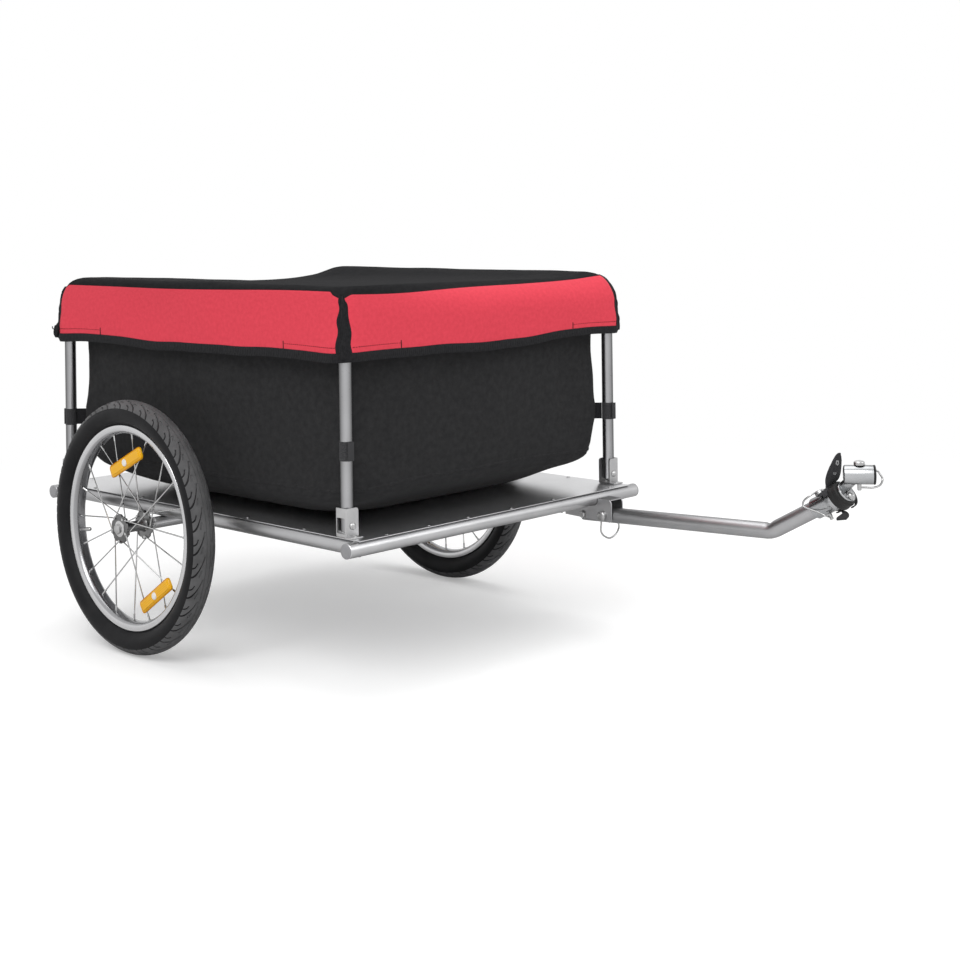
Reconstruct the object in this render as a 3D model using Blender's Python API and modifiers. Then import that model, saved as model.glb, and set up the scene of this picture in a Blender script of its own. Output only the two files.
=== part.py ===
# Two-wheeled cargo trailer for a bicycle.
# Metres, +X forward to the hitch, +Y to the trailer's left, +Z up, the ground at Z = 0.
# The origin is the middle of the trailer's length and width, on the ground.

import math

import bmesh
import bpy
from mathutils import Matrix, Vector

# Fits between pieces
SEAT_GAP = 0.0003
HOLE_CLEARANCE = 0.0003

# Wheels
WHEEL_RADIUS = 0.203
WHEEL_BEYOND_RAIL_END = 0.028
TYRE_HALF_WIDTH = 0.0225
TYRE_HEIGHT = 0.040
TYRE_WALL = 0.0035
RIM_RADIUS = 0.164
RIM_DEPTH = 0.0145
RIM_HALF_WIDTH = 0.0125
RIM_LIP = 0.002
RIM_WELL_DEPTH = 0.0065
SPOKE_RADIUS = 0.0010
SPOKE_COUNT = 20
SPOKE_LEAN = math.radians(52)
FLANGE_RADIUS = 0.023
FLANGE_HALF_SPACING = 0.0225
FLANGE_THICKNESS = 0.0034
SPOKE_CIRCLE_RADIUS = 0.0195
HUB_BARREL_RADIUS = 0.0085
HUB_HALF_LENGTH = 0.0255
REFLECTOR_SIZE = (0.094, 0.020, 0.006)
UPPER_REFLECTOR_INSIDE_RIM = 0.058
LOWER_REFLECTOR_INSIDE_RIM = 0.0395
VALVE_RADIUS = 0.0028
VALVE_LENGTH = 0.026

# Axle
AXLE_FROM_REAR_RAIL = 0.284
AXLE_TUBE_RADIUS = 0.0095
AXLE_TUBE_WALL = 0.002
AXLE_TUBE_TO_WHEEL_CENTRE = 0.039
AXLE_ROD_RADIUS = 0.0045
AXLE_PLUG_LENGTH = 0.030
AXLE_NUT_RADIUS = 0.0078
AXLE_NUT_THICKNESS = 0.0055

# Deck frame
RAIL_RADIUS = 0.011
RAIL_WALL = 0.0015
DECK_LENGTH = 0.766
CROSS_RAIL_LENGTH = 0.656
SIDE_RAIL_FROM_RAIL_END = 0.029
CAP_THICKNESS = 0.0025
CAP_PLUG_LENGTH = 0.010
DECK_THICKNESS = 0.0012
DECK_OVERHANG = 0.008

# Folding side frames
POST_RADIUS = 0.0095
POST_WALL = 0.0012
POST_FROM_RAIL_END = 0.031
FRONT_POST_SETBACK = 0.030
REAR_POST_SETBACK = 0.014
PIVOT_ABOVE_DECK = 0.017
POST_BELOW_PIVOT = 0.0085
TOP_RAIL_LEG = 0.080
TOP_RAIL_BEND_RADIUS = 0.045
STRAP_HEIGHT = 0.028
STRAP_THICKNESS = 0.0015
FRONT_STRAP_ABOVE_DECK = 0.1237
REAR_STRAP_ABOVE_DECK = 0.1167
STRAP_TAB_LENGTH = 0.009

# Corner brackets
PLATE_THICKNESS = 0.002
BRACKET_DEPTH = 0.0233
BRACKET_TOP_ABOVE_PIVOT = 0.0257
WINDOW_HALF_WIDTH = 0.0087
WINDOW_HALF_HEIGHT = 0.011
BRACKET_TAB_LENGTH = 0.010
BOLT_RADIUS = 0.003
BOLT_HEAD_RADIUS = 0.0055
BOLT_HEAD_THICKNESS = 0.0032

# Cargo bag and cover
OVERALL_HEIGHT = 0.597
FABRIC_THICKNESS = 0.002
COVER_DROP = 0.109
COVER_EASE = 0.004
COVER_REAR_SAG = 0.020
COVER_FRONT_SAG = 0.010
COVER_BEND_ANGLES = (0, 15, 30, 42, 54, 64, 73, 82, 90)
BAG_REAR_INSET = 0.050
BAG_FRONT_INSET = 0.044
BAG_MOUTH_BELOW_TOP = 0.025
BAG_SEAM_ABOVE_DECK = 0.0637

# Tow arm and its bracket under the front rail
ARM_RADIUS = 0.0125
ARM_WALL = 0.0018
ARM_FROM_RAIL_END = 0.0955
ARM_PIN_SPACING = 0.042
ARM_PIVOT_BELOW_RAIL = 0.0170
ARM_RISE = math.radians(2.5)
ARM_RUN = 0.361
UPPER_ARM_ANGLE = math.radians(29)
UPPER_ARM_LENGTH = 0.1185
ARM_BEND_RADIUS = 0.045
ARM_REAR_END = 0.0085
ARM_SIDE_CLEARANCE = 0.0008
ARM_BRACKET_REAR = 0.073
ARM_BRACKET_FRONT = 0.040
ARM_BRACKET_RISE = 0.002
ARM_BRACKET_DROP = 0.0075
LOCK_BAIL_DROP = 0.037

# Hitch
CUP_RADIUS = 0.0158
CUP_FLARE_RADIUS = 0.0180
CUP_OVERLAP = 0.030
FLEX_RADIUS = 0.0205
FLEX_THICKNESS = 0.018
FLEX_FROM_BEND = 0.1380
FLEX_TILT = math.radians(39)
COUPLER_FLANGE_RADIUS = 0.0165
COUPLER_FLANGE_THICKNESS = 0.003
NECK_RADIUS = 0.0085
NECK_OFFSET = 0.0065
COUPLER_BOLT_OFFSET = 0.0085
COUPLER_BOLT_HEAD_RADIUS = 0.006
COUPLER_BOLT_DEPTH = 0.008
BARREL_RADIUS = 0.014
BARREL_BORE = 0.0105
BARREL_LENGTH = 0.045
BARREL_YAW = math.radians(36)
BARREL_FROM_FLEX = 0.030
BARREL_ABOVE_FLEX = 0.034
SOCKET_DEPTH = 0.038
HITCH_PIN_RADIUS = 0.003
HITCH_PIN_HEAD_RADIUS = 0.0080
HITCH_PIN_HEAD_THICKNESS = 0.006
HITCH_PIN_TAIL = 0.0085
WIRE_RADIUS = 0.00125
BAIL_REACH = 0.0340
SAFETY_STRAP_WIDTH = 0.024
SAFETY_STRAP_RISE = 0.052
SAFETY_STRAP_DROP = 0.020

# Facets round a turned piece or a tube, and points tried along a spoke
TYRE_STEPS = 40
TUBE_SIDES = 16
SEAT_STEPS = 120
SMALL_SIDES = 12

# Heights worked out from what rests on what
RAIL_Z = WHEEL_RADIUS + AXLE_TUBE_RADIUS + SEAT_GAP + RAIL_RADIUS
DECK_BOTTOM_Z = RAIL_Z + RAIL_RADIUS + SEAT_GAP
DECK_TOP_Z = DECK_BOTTOM_Z + DECK_THICKNESS
PIVOT_Z = DECK_TOP_Z + PIVOT_ABOVE_DECK
HOOP_Z = OVERALL_HEIGHT - FABRIC_THICKNESS - 2 * SEAT_GAP - POST_RADIUS
TOP_RAIL_JOINT_Z = HOOP_Z - TOP_RAIL_LEG
STRAP_Z = {"front": DECK_TOP_Z + FRONT_STRAP_ABOVE_DECK, "rear": DECK_TOP_Z + REAR_STRAP_ABOVE_DECK}
COVER_HEM_Z = OVERALL_HEIGHT - COVER_DROP
BAG_MOUTH_Z = OVERALL_HEIGHT - BAG_MOUTH_BELOW_TOP
BAG_SEAM_Z = DECK_TOP_Z + BAG_SEAM_ABOVE_DECK
ARM_PIVOT_Z = RAIL_Z - RAIL_RADIUS - ARM_PIVOT_BELOW_RAIL

# Places across the trailer, measured from the ends of the cross rails
RAIL_END_Y = CROSS_RAIL_LENGTH / 2
WHEEL_CENTRE_Y = RAIL_END_Y + WHEEL_BEYOND_RAIL_END
AXLE_TUBE_HALF_LENGTH = WHEEL_CENTRE_Y - AXLE_TUBE_TO_WHEEL_CENTRE
SIDE_RAIL_Y = RAIL_END_Y - SIDE_RAIL_FROM_RAIL_END
POST_Y = RAIL_END_Y - POST_FROM_RAIL_END
ARM_Y = RAIL_END_Y - ARM_FROM_RAIL_END
UPPER_REFLECTOR_RADIUS = RIM_RADIUS - UPPER_REFLECTOR_INSIDE_RIM
LOWER_REFLECTOR_RADIUS = RIM_RADIUS - LOWER_REFLECTOR_INSIDE_RIM

# The hitch, measured forward from the front rail
FLEX_REACH = ARM_RUN - ARM_PIN_SPACING / 2 + FLEX_FROM_BEND * math.cos(UPPER_ARM_ANGLE)
HITCH_PIN_REACH = FLEX_REACH + BARREL_FROM_FLEX
OVERALL_LENGTH = (
    RAIL_RADIUS + DECK_LENGTH + HITCH_PIN_REACH + BAIL_REACH * math.cos(BARREL_YAW) + WIRE_RADIUS)
REAR_RAIL_X = RAIL_RADIUS - OVERALL_LENGTH / 2
FRONT_RAIL_X = REAR_RAIL_X + DECK_LENGTH
AXLE_X = REAR_RAIL_X + AXLE_FROM_REAR_RAIL
FRONT_POST_X = FRONT_RAIL_X - FRONT_POST_SETBACK
REAR_POST_X = REAR_RAIL_X + REAR_POST_SETBACK
POSTS = {"front": FRONT_POST_X, "rear": REAR_POST_X}
SIDES = {"right": -1, "left": 1}

ARM_PIVOT = Vector((FRONT_RAIL_X - ARM_PIN_SPACING / 2, ARM_Y, ARM_PIVOT_Z))
ARM_RISE_DIRECTION = Vector((math.cos(ARM_RISE), 0, math.sin(ARM_RISE)))
ARM_BEND = ARM_PIVOT + ARM_RISE_DIRECTION * (ARM_RUN / math.cos(ARM_RISE))
LOCK_PIN = ARM_PIVOT + ARM_RISE_DIRECTION * (ARM_PIN_SPACING / math.cos(ARM_RISE))
UPPER_ARM_DIRECTION = Vector((math.cos(UPPER_ARM_ANGLE), 0, math.sin(UPPER_ARM_ANGLE)))
UPPER_ARM_NORMAL = Vector((-math.sin(UPPER_ARM_ANGLE), 0, math.cos(UPPER_ARM_ANGLE)))
FLEX_CENTRE = ARM_BEND + UPPER_ARM_DIRECTION * FLEX_FROM_BEND
FLEX_AXIS = Vector((math.cos(FLEX_TILT), 0, math.sin(FLEX_TILT)))
FLEX_UP = Vector((-math.sin(FLEX_TILT), 0, math.cos(FLEX_TILT)))
BARREL_CENTRE = FLEX_CENTRE + Vector((BARREL_FROM_FLEX, 0, BARREL_ABOVE_FLEX))
BARREL_AXIS = Vector((math.cos(BARREL_YAW), math.sin(BARREL_YAW), 0))
BARREL_SIDE = Vector((-math.sin(BARREL_YAW), math.cos(BARREL_YAW), 0))
ARM_PIN_CENTRE = ARM_BEND + UPPER_ARM_DIRECTION * (UPPER_ARM_LENGTH - CUP_OVERLAP * 0.4)

X_AXIS = Vector((1, 0, 0))
Y_AXIS = Vector((0, 1, 0))
Z_AXIS = Vector((0, 0, 1))


# Scene and collections

def start_scene():
    for old in list(bpy.data.objects):
        bpy.data.objects.remove(old, do_unlink=True)
    scene = bpy.context.scene
    trailer = bpy.data.collections.new("bike_cargo_trailer")
    cutters = bpy.data.collections.new("cutters")
    scene.collection.children.link(trailer)
    scene.collection.children.link(cutters)
    return trailer, cutters


PARTS, CUTTERS = start_scene()


def material(name, colour, roughness, metallic):
    made = bpy.data.materials.new(name)
    made.use_nodes = True
    shader = made.node_tree.nodes["Principled BSDF"]
    shader.inputs["Base Color"].default_value = (*colour, 1)
    shader.inputs["Roughness"].default_value = roughness
    shader.inputs["Metallic"].default_value = metallic
    return made


CHROME = material("bright_zinc_tube", (0.72, 0.72, 0.73), 0.28, 1.0)
GREY_TUBE = material("satin_grey_tube", (0.42, 0.42, 0.43), 0.38, 1.0)
ZINC_PLATE = material("galvanised_plate", (0.66, 0.66, 0.66), 0.42, 1.0)
BOLT_STEEL = material("bolt_steel", (0.60, 0.60, 0.60), 0.30, 1.0)
WIRE_STEEL = material("wire_steel", (0.75, 0.75, 0.75), 0.22, 1.0)
RUBBER = material("tyre_rubber", (0.022, 0.022, 0.024), 0.75, 0.0)
FLEX_RUBBER = material("flex_rubber", (0.03, 0.03, 0.03), 0.6, 0.0)
ALLOY = material("rim_alloy", (0.74, 0.74, 0.75), 0.25, 1.0)
SPOKE_STEEL = material("spoke_steel", (0.62, 0.62, 0.62), 0.25, 1.0)
AMBER = material("amber_reflector", (0.90, 0.48, 0.02), 0.18, 0.0)
BLACK_CLOTH = material("black_cloth", (0.018, 0.018, 0.020), 0.85, 0.0)
RED_CLOTH = material("red_cloth", (0.72, 0.06, 0.09), 0.80, 0.0)
WEBBING = material("black_webbing", (0.015, 0.015, 0.016), 0.9, 0.0)
HITCH_ALLOY = material("hitch_alloy", (0.70, 0.71, 0.72), 0.30, 1.0)
CAP_PLASTIC = material("end_cap_plastic", (0.45, 0.45, 0.46), 0.5, 0.0)


# Modelling helpers

def keep(obj, name, look, collection=None):
    obj.name = name
    obj.data.name = name
    for holder in list(obj.users_collection):
        holder.objects.unlink(obj)
    (collection or PARTS).objects.link(obj)
    obj.data.materials.clear()
    obj.data.materials.append(look)
    return obj


def as_cutter(obj):
    for holder in list(obj.users_collection):
        holder.objects.unlink(obj)
    CUTTERS.objects.link(obj)
    obj.hide_render = True
    obj.display_type = 'WIRE'
    return obj


def boolean(obj, other, operation):
    step = obj.modifiers.new(other.name, 'BOOLEAN')
    step.operation = operation
    step.solver = 'EXACT'
    step.object = as_cutter(other)
    return obj


def cut(obj, cutter):
    return boolean(obj, cutter, 'DIFFERENCE')


def join(obj, other):
    return boolean(obj, other, 'UNION')


def turn_to(obj, location, direction):
    obj.location = location
    obj.rotation_euler = Z_AXIS.rotation_difference(Vector(direction)).to_euler()
    return obj


def round_smooth(mesh, angle=40):
    mesh.shade_smooth()
    mesh.set_sharp_from_angle(angle=math.radians(angle))


def turned(name, look, profile, location, direction, steps, closed=False):
    # The profile's points are (radius, height); an open one runs from the axis down to the axis.
    mesh = bpy.data.meshes.new(name)
    points = [(radius, 0, height) for radius, height in profile]
    edges = [(i, i + 1) for i in range(len(points) - 1)]
    if closed:
        edges.append((len(points) - 1, 0))
    mesh.from_pydata(points, edges, [])
    obj = bpy.data.objects.new(name, mesh)
    keep(obj, name, look)
    screw = obj.modifiers.new("turn", 'SCREW')
    screw.angle = math.tau
    screw.steps = steps
    screw.render_steps = steps
    screw.use_merge_vertices = True
    screw.merge_threshold = 0.00001
    screw.use_smooth_shade = True
    return turn_to(obj, location, direction)


def pipe(name, look, start, end, outer, wall, sides=TUBE_SIDES):
    length = (Vector(end) - Vector(start)).length
    inner = outer - wall
    profile = [(outer, length), (outer, 0), (inner, 0), (inner, length)]
    direction = Vector(end) - Vector(start)
    return turned(name, look, profile, start, direction, sides, closed=True)


def rod(name, look, start, end, radius, sides=SMALL_SIDES):
    direction = Vector(end) - Vector(start)
    middle = (Vector(end) + Vector(start)) / 2
    bpy.ops.mesh.primitive_cylinder_add(vertices=sides, radius=radius, depth=direction.length)
    obj = keep(bpy.context.active_object, name, look)
    round_smooth(obj.data)
    return turn_to(obj, middle, direction)


def box(name, look, low, high):
    size = Vector(high) - Vector(low)
    centre = (Vector(high) + Vector(low)) / 2
    bpy.ops.mesh.primitive_cube_add(size=1, location=centre)
    obj = bpy.context.active_object
    obj.scale = size
    bpy.ops.object.transform_apply(location=False, rotation=False, scale=True)
    return keep(obj, name, look)


def plain_mesh(obj):
    # The evaluated shape as a mesh object, with its loose caps and doubles welded.
    bpy.context.view_layer.update()
    shape = obj.evaluated_get(bpy.context.evaluated_depsgraph_get())
    mesh = bpy.data.meshes.new_from_object(shape)
    work = bmesh.new()
    work.from_mesh(mesh)
    bmesh.ops.remove_doubles(work, verts=work.verts, dist=0.00001)
    work.to_mesh(mesh)
    work.free()
    made = bpy.data.objects.new(obj.name, mesh)
    name = obj.name
    look = obj.data.materials[0]
    made.matrix_world = obj.matrix_world.copy()
    bpy.data.objects.remove(obj, do_unlink=True)
    return keep(made, name, look)


def swept(name, look, points, radius, resolution=2, closed=False):
    curve = bpy.data.curves.new(name, 'CURVE')
    curve.dimensions = '3D'
    curve.bevel_depth = radius
    curve.bevel_resolution = resolution
    curve.use_fill_caps = True
    spline = curve.splines.new('POLY')
    spline.points.add(len(points) - 1)
    for slot, point in zip(spline.points, points):
        slot.co = (*point, 1)
    spline.use_cyclic_u = closed
    spline.use_smooth = True
    obj = bpy.data.objects.new(name, curve)
    return keep(obj, name, look)


def rounded_path(corners, bend_radius, steps):
    # A path of straight runs whose inner corners are arcs of the bend radius.
    path = [Vector(corners[0])]
    for before, here, after in zip(corners, corners[1:], corners[2:]):
        back = (Vector(before) - Vector(here)).normalized()
        ahead = (Vector(after) - Vector(here)).normalized()
        half = back.angle(ahead) / 2
        trim = bend_radius / math.tan(half)
        centre = Vector(here) + (back + ahead).normalized() * (bend_radius / math.sin(half))
        first = (Vector(here) + back * trim - centre).normalized()
        last = (Vector(here) + ahead * trim - centre).normalized()
        for i in range(steps + 1):
            path.append(centre + first.slerp(last, i / steps) * bend_radius)
    path.append(Vector(corners[-1]))
    return path


def bent_pipe(name, look, corners, radius, wall, bend_radius, steps=5):
    path = rounded_path(corners, bend_radius, steps)
    outer = plain_mesh(swept(name, look, path, radius))
    overrun = 0.004
    path[0] = path[0] + (path[0] - path[1]).normalized() * overrun
    path[-1] = path[-1] + (path[-1] - path[-2]).normalized() * overrun
    bore = plain_mesh(swept(name + "_bore", look, path, radius - wall))
    cut(outer, bore)
    round_smooth(outer.data)
    return outer


def outline_plate(name, look, outline, thickness, location, rotation):
    curve = bpy.data.curves.new(name, 'CURVE')
    curve.dimensions = '2D'
    curve.fill_mode = 'BOTH'
    curve.extrude = thickness / 2
    spline = curve.splines.new('POLY')
    spline.points.add(len(outline) - 1)
    for slot, point in zip(spline.points, outline):
        slot.co = (point[0], point[1], 0, 1)
    spline.use_cyclic_u = True
    obj = bpy.data.objects.new(name, curve)
    keep(obj, name, look)
    obj.location = location
    obj.rotation_euler = rotation
    return plain_mesh(obj)


def group_empty(name, location):
    empty = bpy.data.objects.new(name, None)
    empty.location = location
    empty.empty_display_size = 0.03
    PARTS.objects.link(empty)
    return empty


def hang_on(parent, *pieces):
    bpy.context.view_layer.update()
    for piece in pieces:
        piece.parent = parent
        piece.matrix_parent_inverse = parent.matrix_world.inverted()


# Deck frame

def rail_caps(name, x):
    for side, sign in SIDES.items():
        face = sign * RAIL_END_Y
        plug = RAIL_RADIUS - RAIL_WALL - SEAT_GAP
        height = CAP_THICKNESS - SEAT_GAP
        profile = [
            (0, height), (RAIL_RADIUS * 0.75, height), (RAIL_RADIUS, height * 0.35),
            (RAIL_RADIUS, 0), (plug, 0), (plug, -CAP_PLUG_LENGTH), (0, -CAP_PLUG_LENGTH),
        ]
        place = (x, face - sign * height, RAIL_Z)
        turned(f"{name}_{side}_cap", CAP_PLASTIC, profile, place, Y_AXIS * sign, TUBE_SIDES)


def deck_frame():
    half = RAIL_END_Y - CAP_THICKNESS
    for name, x in (("front_rail", FRONT_RAIL_X), ("rear_rail", REAR_RAIL_X)):
        pipe(name, CHROME, (x, -half, RAIL_Z), (x, half, RAIL_Z), RAIL_RADIUS, RAIL_WALL)
        rail_caps(name, x)
    for side, sign in SIDES.items():
        y = sign * SIDE_RAIL_Y
        rail = pipe(
            f"{side}_side_rail", CHROME,
            (REAR_RAIL_X, y, RAIL_Z), (FRONT_RAIL_X, y, RAIL_Z), RAIL_RADIUS, RAIL_WALL)
        for end, x in (("front", FRONT_RAIL_X), ("rear", REAR_RAIL_X)):
            reach = RAIL_RADIUS * 1.5
            cope = rod(
                f"{side}_{end}_cope", CHROME, (x, y - reach, RAIL_Z), (x, y + reach, RAIL_Z),
                RAIL_RADIUS + SEAT_GAP, TUBE_SIDES)
            cut(rail, cope)
    pipe(
        "axle_tube", CHROME,
        (AXLE_X, -AXLE_TUBE_HALF_LENGTH, WHEEL_RADIUS), (AXLE_X, AXLE_TUBE_HALF_LENGTH, WHEEL_RADIUS),
        AXLE_TUBE_RADIUS, AXLE_TUBE_WALL)
    width = SIDE_RAIL_Y + DECK_OVERHANG
    box(
        "deck_panel", ZINC_PLATE,
        (REAR_RAIL_X - DECK_OVERHANG, -width, DECK_BOTTOM_Z),
        (FRONT_RAIL_X + DECK_OVERHANG, width, DECK_TOP_Z))


def stub_axles():
    collar = 0.004
    tube_end = AXLE_TUBE_HALF_LENGTH
    hub_end = WHEEL_CENTRE_Y + HUB_HALF_LENGTH
    nut_start = hub_end + SEAT_GAP
    rod_end = nut_start + AXLE_NUT_THICKNESS - 0.001
    plug = AXLE_TUBE_RADIUS - AXLE_TUBE_WALL - SEAT_GAP
    shoulder = tube_end + SEAT_GAP
    hub_start = WHEEL_CENTRE_Y - HUB_HALF_LENGTH - SEAT_GAP
    for side, sign in SIDES.items():
        profile = [
            (0, rod_end), (AXLE_ROD_RADIUS, rod_end), (AXLE_ROD_RADIUS, hub_start),
            (AXLE_NUT_RADIUS, hub_start), (AXLE_NUT_RADIUS, shoulder + collar),
            (AXLE_TUBE_RADIUS, shoulder + collar), (AXLE_TUBE_RADIUS, shoulder),
            (plug, shoulder), (plug, shoulder - AXLE_PLUG_LENGTH), (0, shoulder - AXLE_PLUG_LENGTH),
        ]
        turned(
            f"{side}_axle", BOLT_STEEL, profile, (AXLE_X, 0, WHEEL_RADIUS), Y_AXIS * sign,
            SMALL_SIDES)
        bore = AXLE_ROD_RADIUS + HOLE_CLEARANCE
        cap = rod_end + SEAT_GAP
        top = nut_start + AXLE_NUT_THICKNESS + 0.001
        nut = [
            (0, top), (AXLE_NUT_RADIUS * 0.6, top),
            (AXLE_NUT_RADIUS, nut_start + AXLE_NUT_THICKNESS * 0.6), (AXLE_NUT_RADIUS, nut_start),
            (bore, nut_start), (bore, cap), (0, cap),
        ]
        turned(
            f"{side}_axle_nut", BOLT_STEEL, nut, (AXLE_X, 0, WHEEL_RADIUS), Y_AXIS * sign,
            SMALL_SIDES)


# Wheels. Each mesh is made in the wheel's own frame: local Z is the axle, pointing outwards.

def arc_points(centre_radius, reach, half_width, start, end, steps):
    points = []
    for i in range(steps + 1):
        angle = start + (end - start) * i / steps
        points.append((centre_radius + reach * math.cos(angle), half_width * math.sin(angle)))
    return points


def tyre_mesh():
    half_height = TYRE_HEIGHT / 2
    centre = WHEEL_RADIUS - half_height
    edge = math.radians(155)
    outer = arc_points(centre, half_height, TYRE_HALF_WIDTH, edge, -edge, 8)
    inner = arc_points(
        centre, half_height - TYRE_WALL, TYRE_HALF_WIDTH - TYRE_WALL, -edge, edge, 4)
    well = RIM_RADIUS - RIM_WELL_DEPTH
    bead_radius = well + SEAT_GAP * 2
    bead_outer = RIM_HALF_WIDTH - RIM_LIP - 0.0013
    bead_inner = bead_outer - 0.0030
    lower_bead = [(bead_radius, -bead_outer), (bead_radius, -bead_inner)]
    upper_bead = [(radius, -height) for radius, height in reversed(lower_bead)]
    profile = outer + lower_bead + inner + upper_bead
    return turned("tyre_shape", RUBBER, profile, (0, 0, 0), Z_AXIS, TYRE_STEPS, closed=True)


def rim_mesh():
    well = RIM_RADIUS - RIM_WELL_DEPTH
    inner = RIM_RADIUS - RIM_DEPTH
    shoulder = (well + inner) / 2
    wide = RIM_HALF_WIDTH
    half = [
        (RIM_RADIUS, wide), (RIM_RADIUS, wide - RIM_LIP), (well, wide - RIM_LIP - 0.0008),
    ]
    low = [
        (well, -wide + RIM_LIP + 0.0008), (RIM_RADIUS, -wide + RIM_LIP), (RIM_RADIUS, -wide),
    ]
    back = [
        (shoulder, -wide * 0.96), (inner, -wide * 0.45), (inner, wide * 0.45),
        (shoulder, wide * 0.96),
    ]
    profile = half + low + back
    return turned("rim_shape", ALLOY, profile, (0, 0, 0), Z_AXIS, TYRE_STEPS, closed=True)


def spoke_line(i):
    # Where spoke i starts on its flange and ends at the rim.
    rim_end = RIM_RADIUS - RIM_DEPTH - SEAT_GAP
    at_rim = math.tau * i / SPOKE_COUNT
    flange = 1 if i % 2 == 0 else -1
    lean = SPOKE_LEAN if (i // 2) % 2 == 0 else -SPOKE_LEAN
    at_hub = at_rim + lean
    inset = SPOKE_RADIUS * 0.45 if lean > 0 else -SPOKE_RADIUS * 0.45
    start = Vector((
        SPOKE_CIRCLE_RADIUS * math.cos(at_hub), SPOKE_CIRCLE_RADIUS * math.sin(at_hub),
        flange * FLANGE_HALF_SPACING + inset))
    end = Vector((rim_end * math.cos(at_rim), rim_end * math.sin(at_rim), flange * SPOKE_RADIUS))
    return start, end


def spoked_hub_mesh():
    bore = AXLE_ROD_RADIUS + HOLE_CLEARANCE
    outer_face = FLANGE_HALF_SPACING + FLANGE_THICKNESS / 2
    inner_face = FLANGE_HALF_SPACING - FLANGE_THICKNESS / 2
    neck = HUB_BARREL_RADIUS * 0.9
    upper = [
        (bore, HUB_HALF_LENGTH), (neck, HUB_HALF_LENGTH), (neck, outer_face),
        (FLANGE_RADIUS, outer_face), (FLANGE_RADIUS, inner_face), (HUB_BARREL_RADIUS, inner_face),
    ]
    lower = [(radius, -height) for radius, height in reversed(upper)]
    hub = turned(
        "hub_shape", SPOKE_STEEL, upper + lower, (0, 0, 0), Z_AXIS, TUBE_SIDES, closed=True)
    spokes = bpy.data.collections.new("spokes")
    CUTTERS.children.link(spokes)
    for i in range(SPOKE_COUNT):
        start, end = spoke_line(i)
        spoke = rod(f"spoke_{i + 1}", SPOKE_STEEL, start, end, SPOKE_RADIUS, 4)
        as_cutter(spoke)
        CUTTERS.objects.unlink(spoke)
        spokes.objects.link(spoke)
    step = hub.modifiers.new("spokes", 'BOOLEAN')
    step.operation = 'UNION'
    step.solver = 'EXACT'
    step.operand_type = 'COLLECTION'
    step.collection = spokes
    return hub


def spoke_seat(centre, along, half_length, half_height):
    # The height that clears every outer spoke behind a reflector of this place and size.
    highest = 0.0
    for i in range(0, SPOKE_COUNT, 2):
        start, end = spoke_line(i)
        for k in range(SEAT_STEPS + 1):
            point = start.lerp(end, k / SEAT_STEPS)
            offset = point.to_2d() - centre
            beside = offset.dot(along)
            across = offset.cross(along)
            if abs(beside) < half_length + SPOKE_RADIUS and abs(across) < half_height + SPOKE_RADIUS:
                highest = max(highest, point.z)
    return highest + SPOKE_RADIUS + SEAT_GAP


def reflector_shape(name, radius, angle, tilt):
    length, height, depth = REFLECTOR_SIZE
    along = Vector((math.cos(tilt), math.sin(tilt)))
    centre = Vector((math.cos(angle), math.sin(angle))) * radius
    seat = spoke_seat(centre, along, length / 2, height / 2)
    bpy.ops.mesh.primitive_cube_add(size=1)
    obj = bpy.context.active_object
    obj.scale = (length, height, depth)
    bpy.ops.object.transform_apply(location=False, rotation=False, scale=True)
    bevel = obj.modifiers.new("corners", 'BEVEL')
    bevel.width = depth * 0.3
    bevel.segments = 1
    obj.location = (centre.x, centre.y, seat + depth / 2)
    obj.rotation_euler = (0, 0, tilt)
    return keep(obj, name, AMBER)


def valve_shape():
    angle = math.radians(189)
    outward = Vector((math.cos(angle), math.sin(angle), 0))
    top = RIM_RADIUS - RIM_DEPTH - SEAT_GAP
    return rod(
        "valve_shape", BOLT_STEEL, outward * (top - VALVE_LENGTH), outward * top, VALVE_RADIUS, 8)


def wheels():
    shapes = {
        "tyre": tyre_mesh(),
        "rim": rim_mesh(),
        "spoked_hub": spoked_hub_mesh(),
        "upper_reflector": reflector_shape(
            "upper_reflector_shape", UPPER_REFLECTOR_RADIUS, math.radians(85.5), math.radians(26)),
        "lower_reflector": reflector_shape(
            "lower_reflector_shape", LOWER_REFLECTOR_RADIUS, math.radians(-51), math.radians(34)),
        "valve": valve_shape(),
    }
    for name, shape in shapes.items():
        welded = plain_mesh(shape)
        place = welded.matrix_world.copy()
        welded.data.transform(place)
        welded.matrix_world = Matrix.Identity(4)
        round_smooth(welded.data)
        for side, sign in SIDES.items():
            piece = bpy.data.objects.new(f"{side}_{name}", welded.data)
            PARTS.objects.link(piece)
            piece.location = (AXLE_X, sign * WHEEL_CENTRE_Y, WHEEL_RADIUS)
            turn = 0 if side == "right" else math.pi
            piece.rotation_euler = (math.pi / 2, 0, turn)
        bpy.data.objects.remove(welded, do_unlink=True)


# Corner brackets and folding side frames

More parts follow.
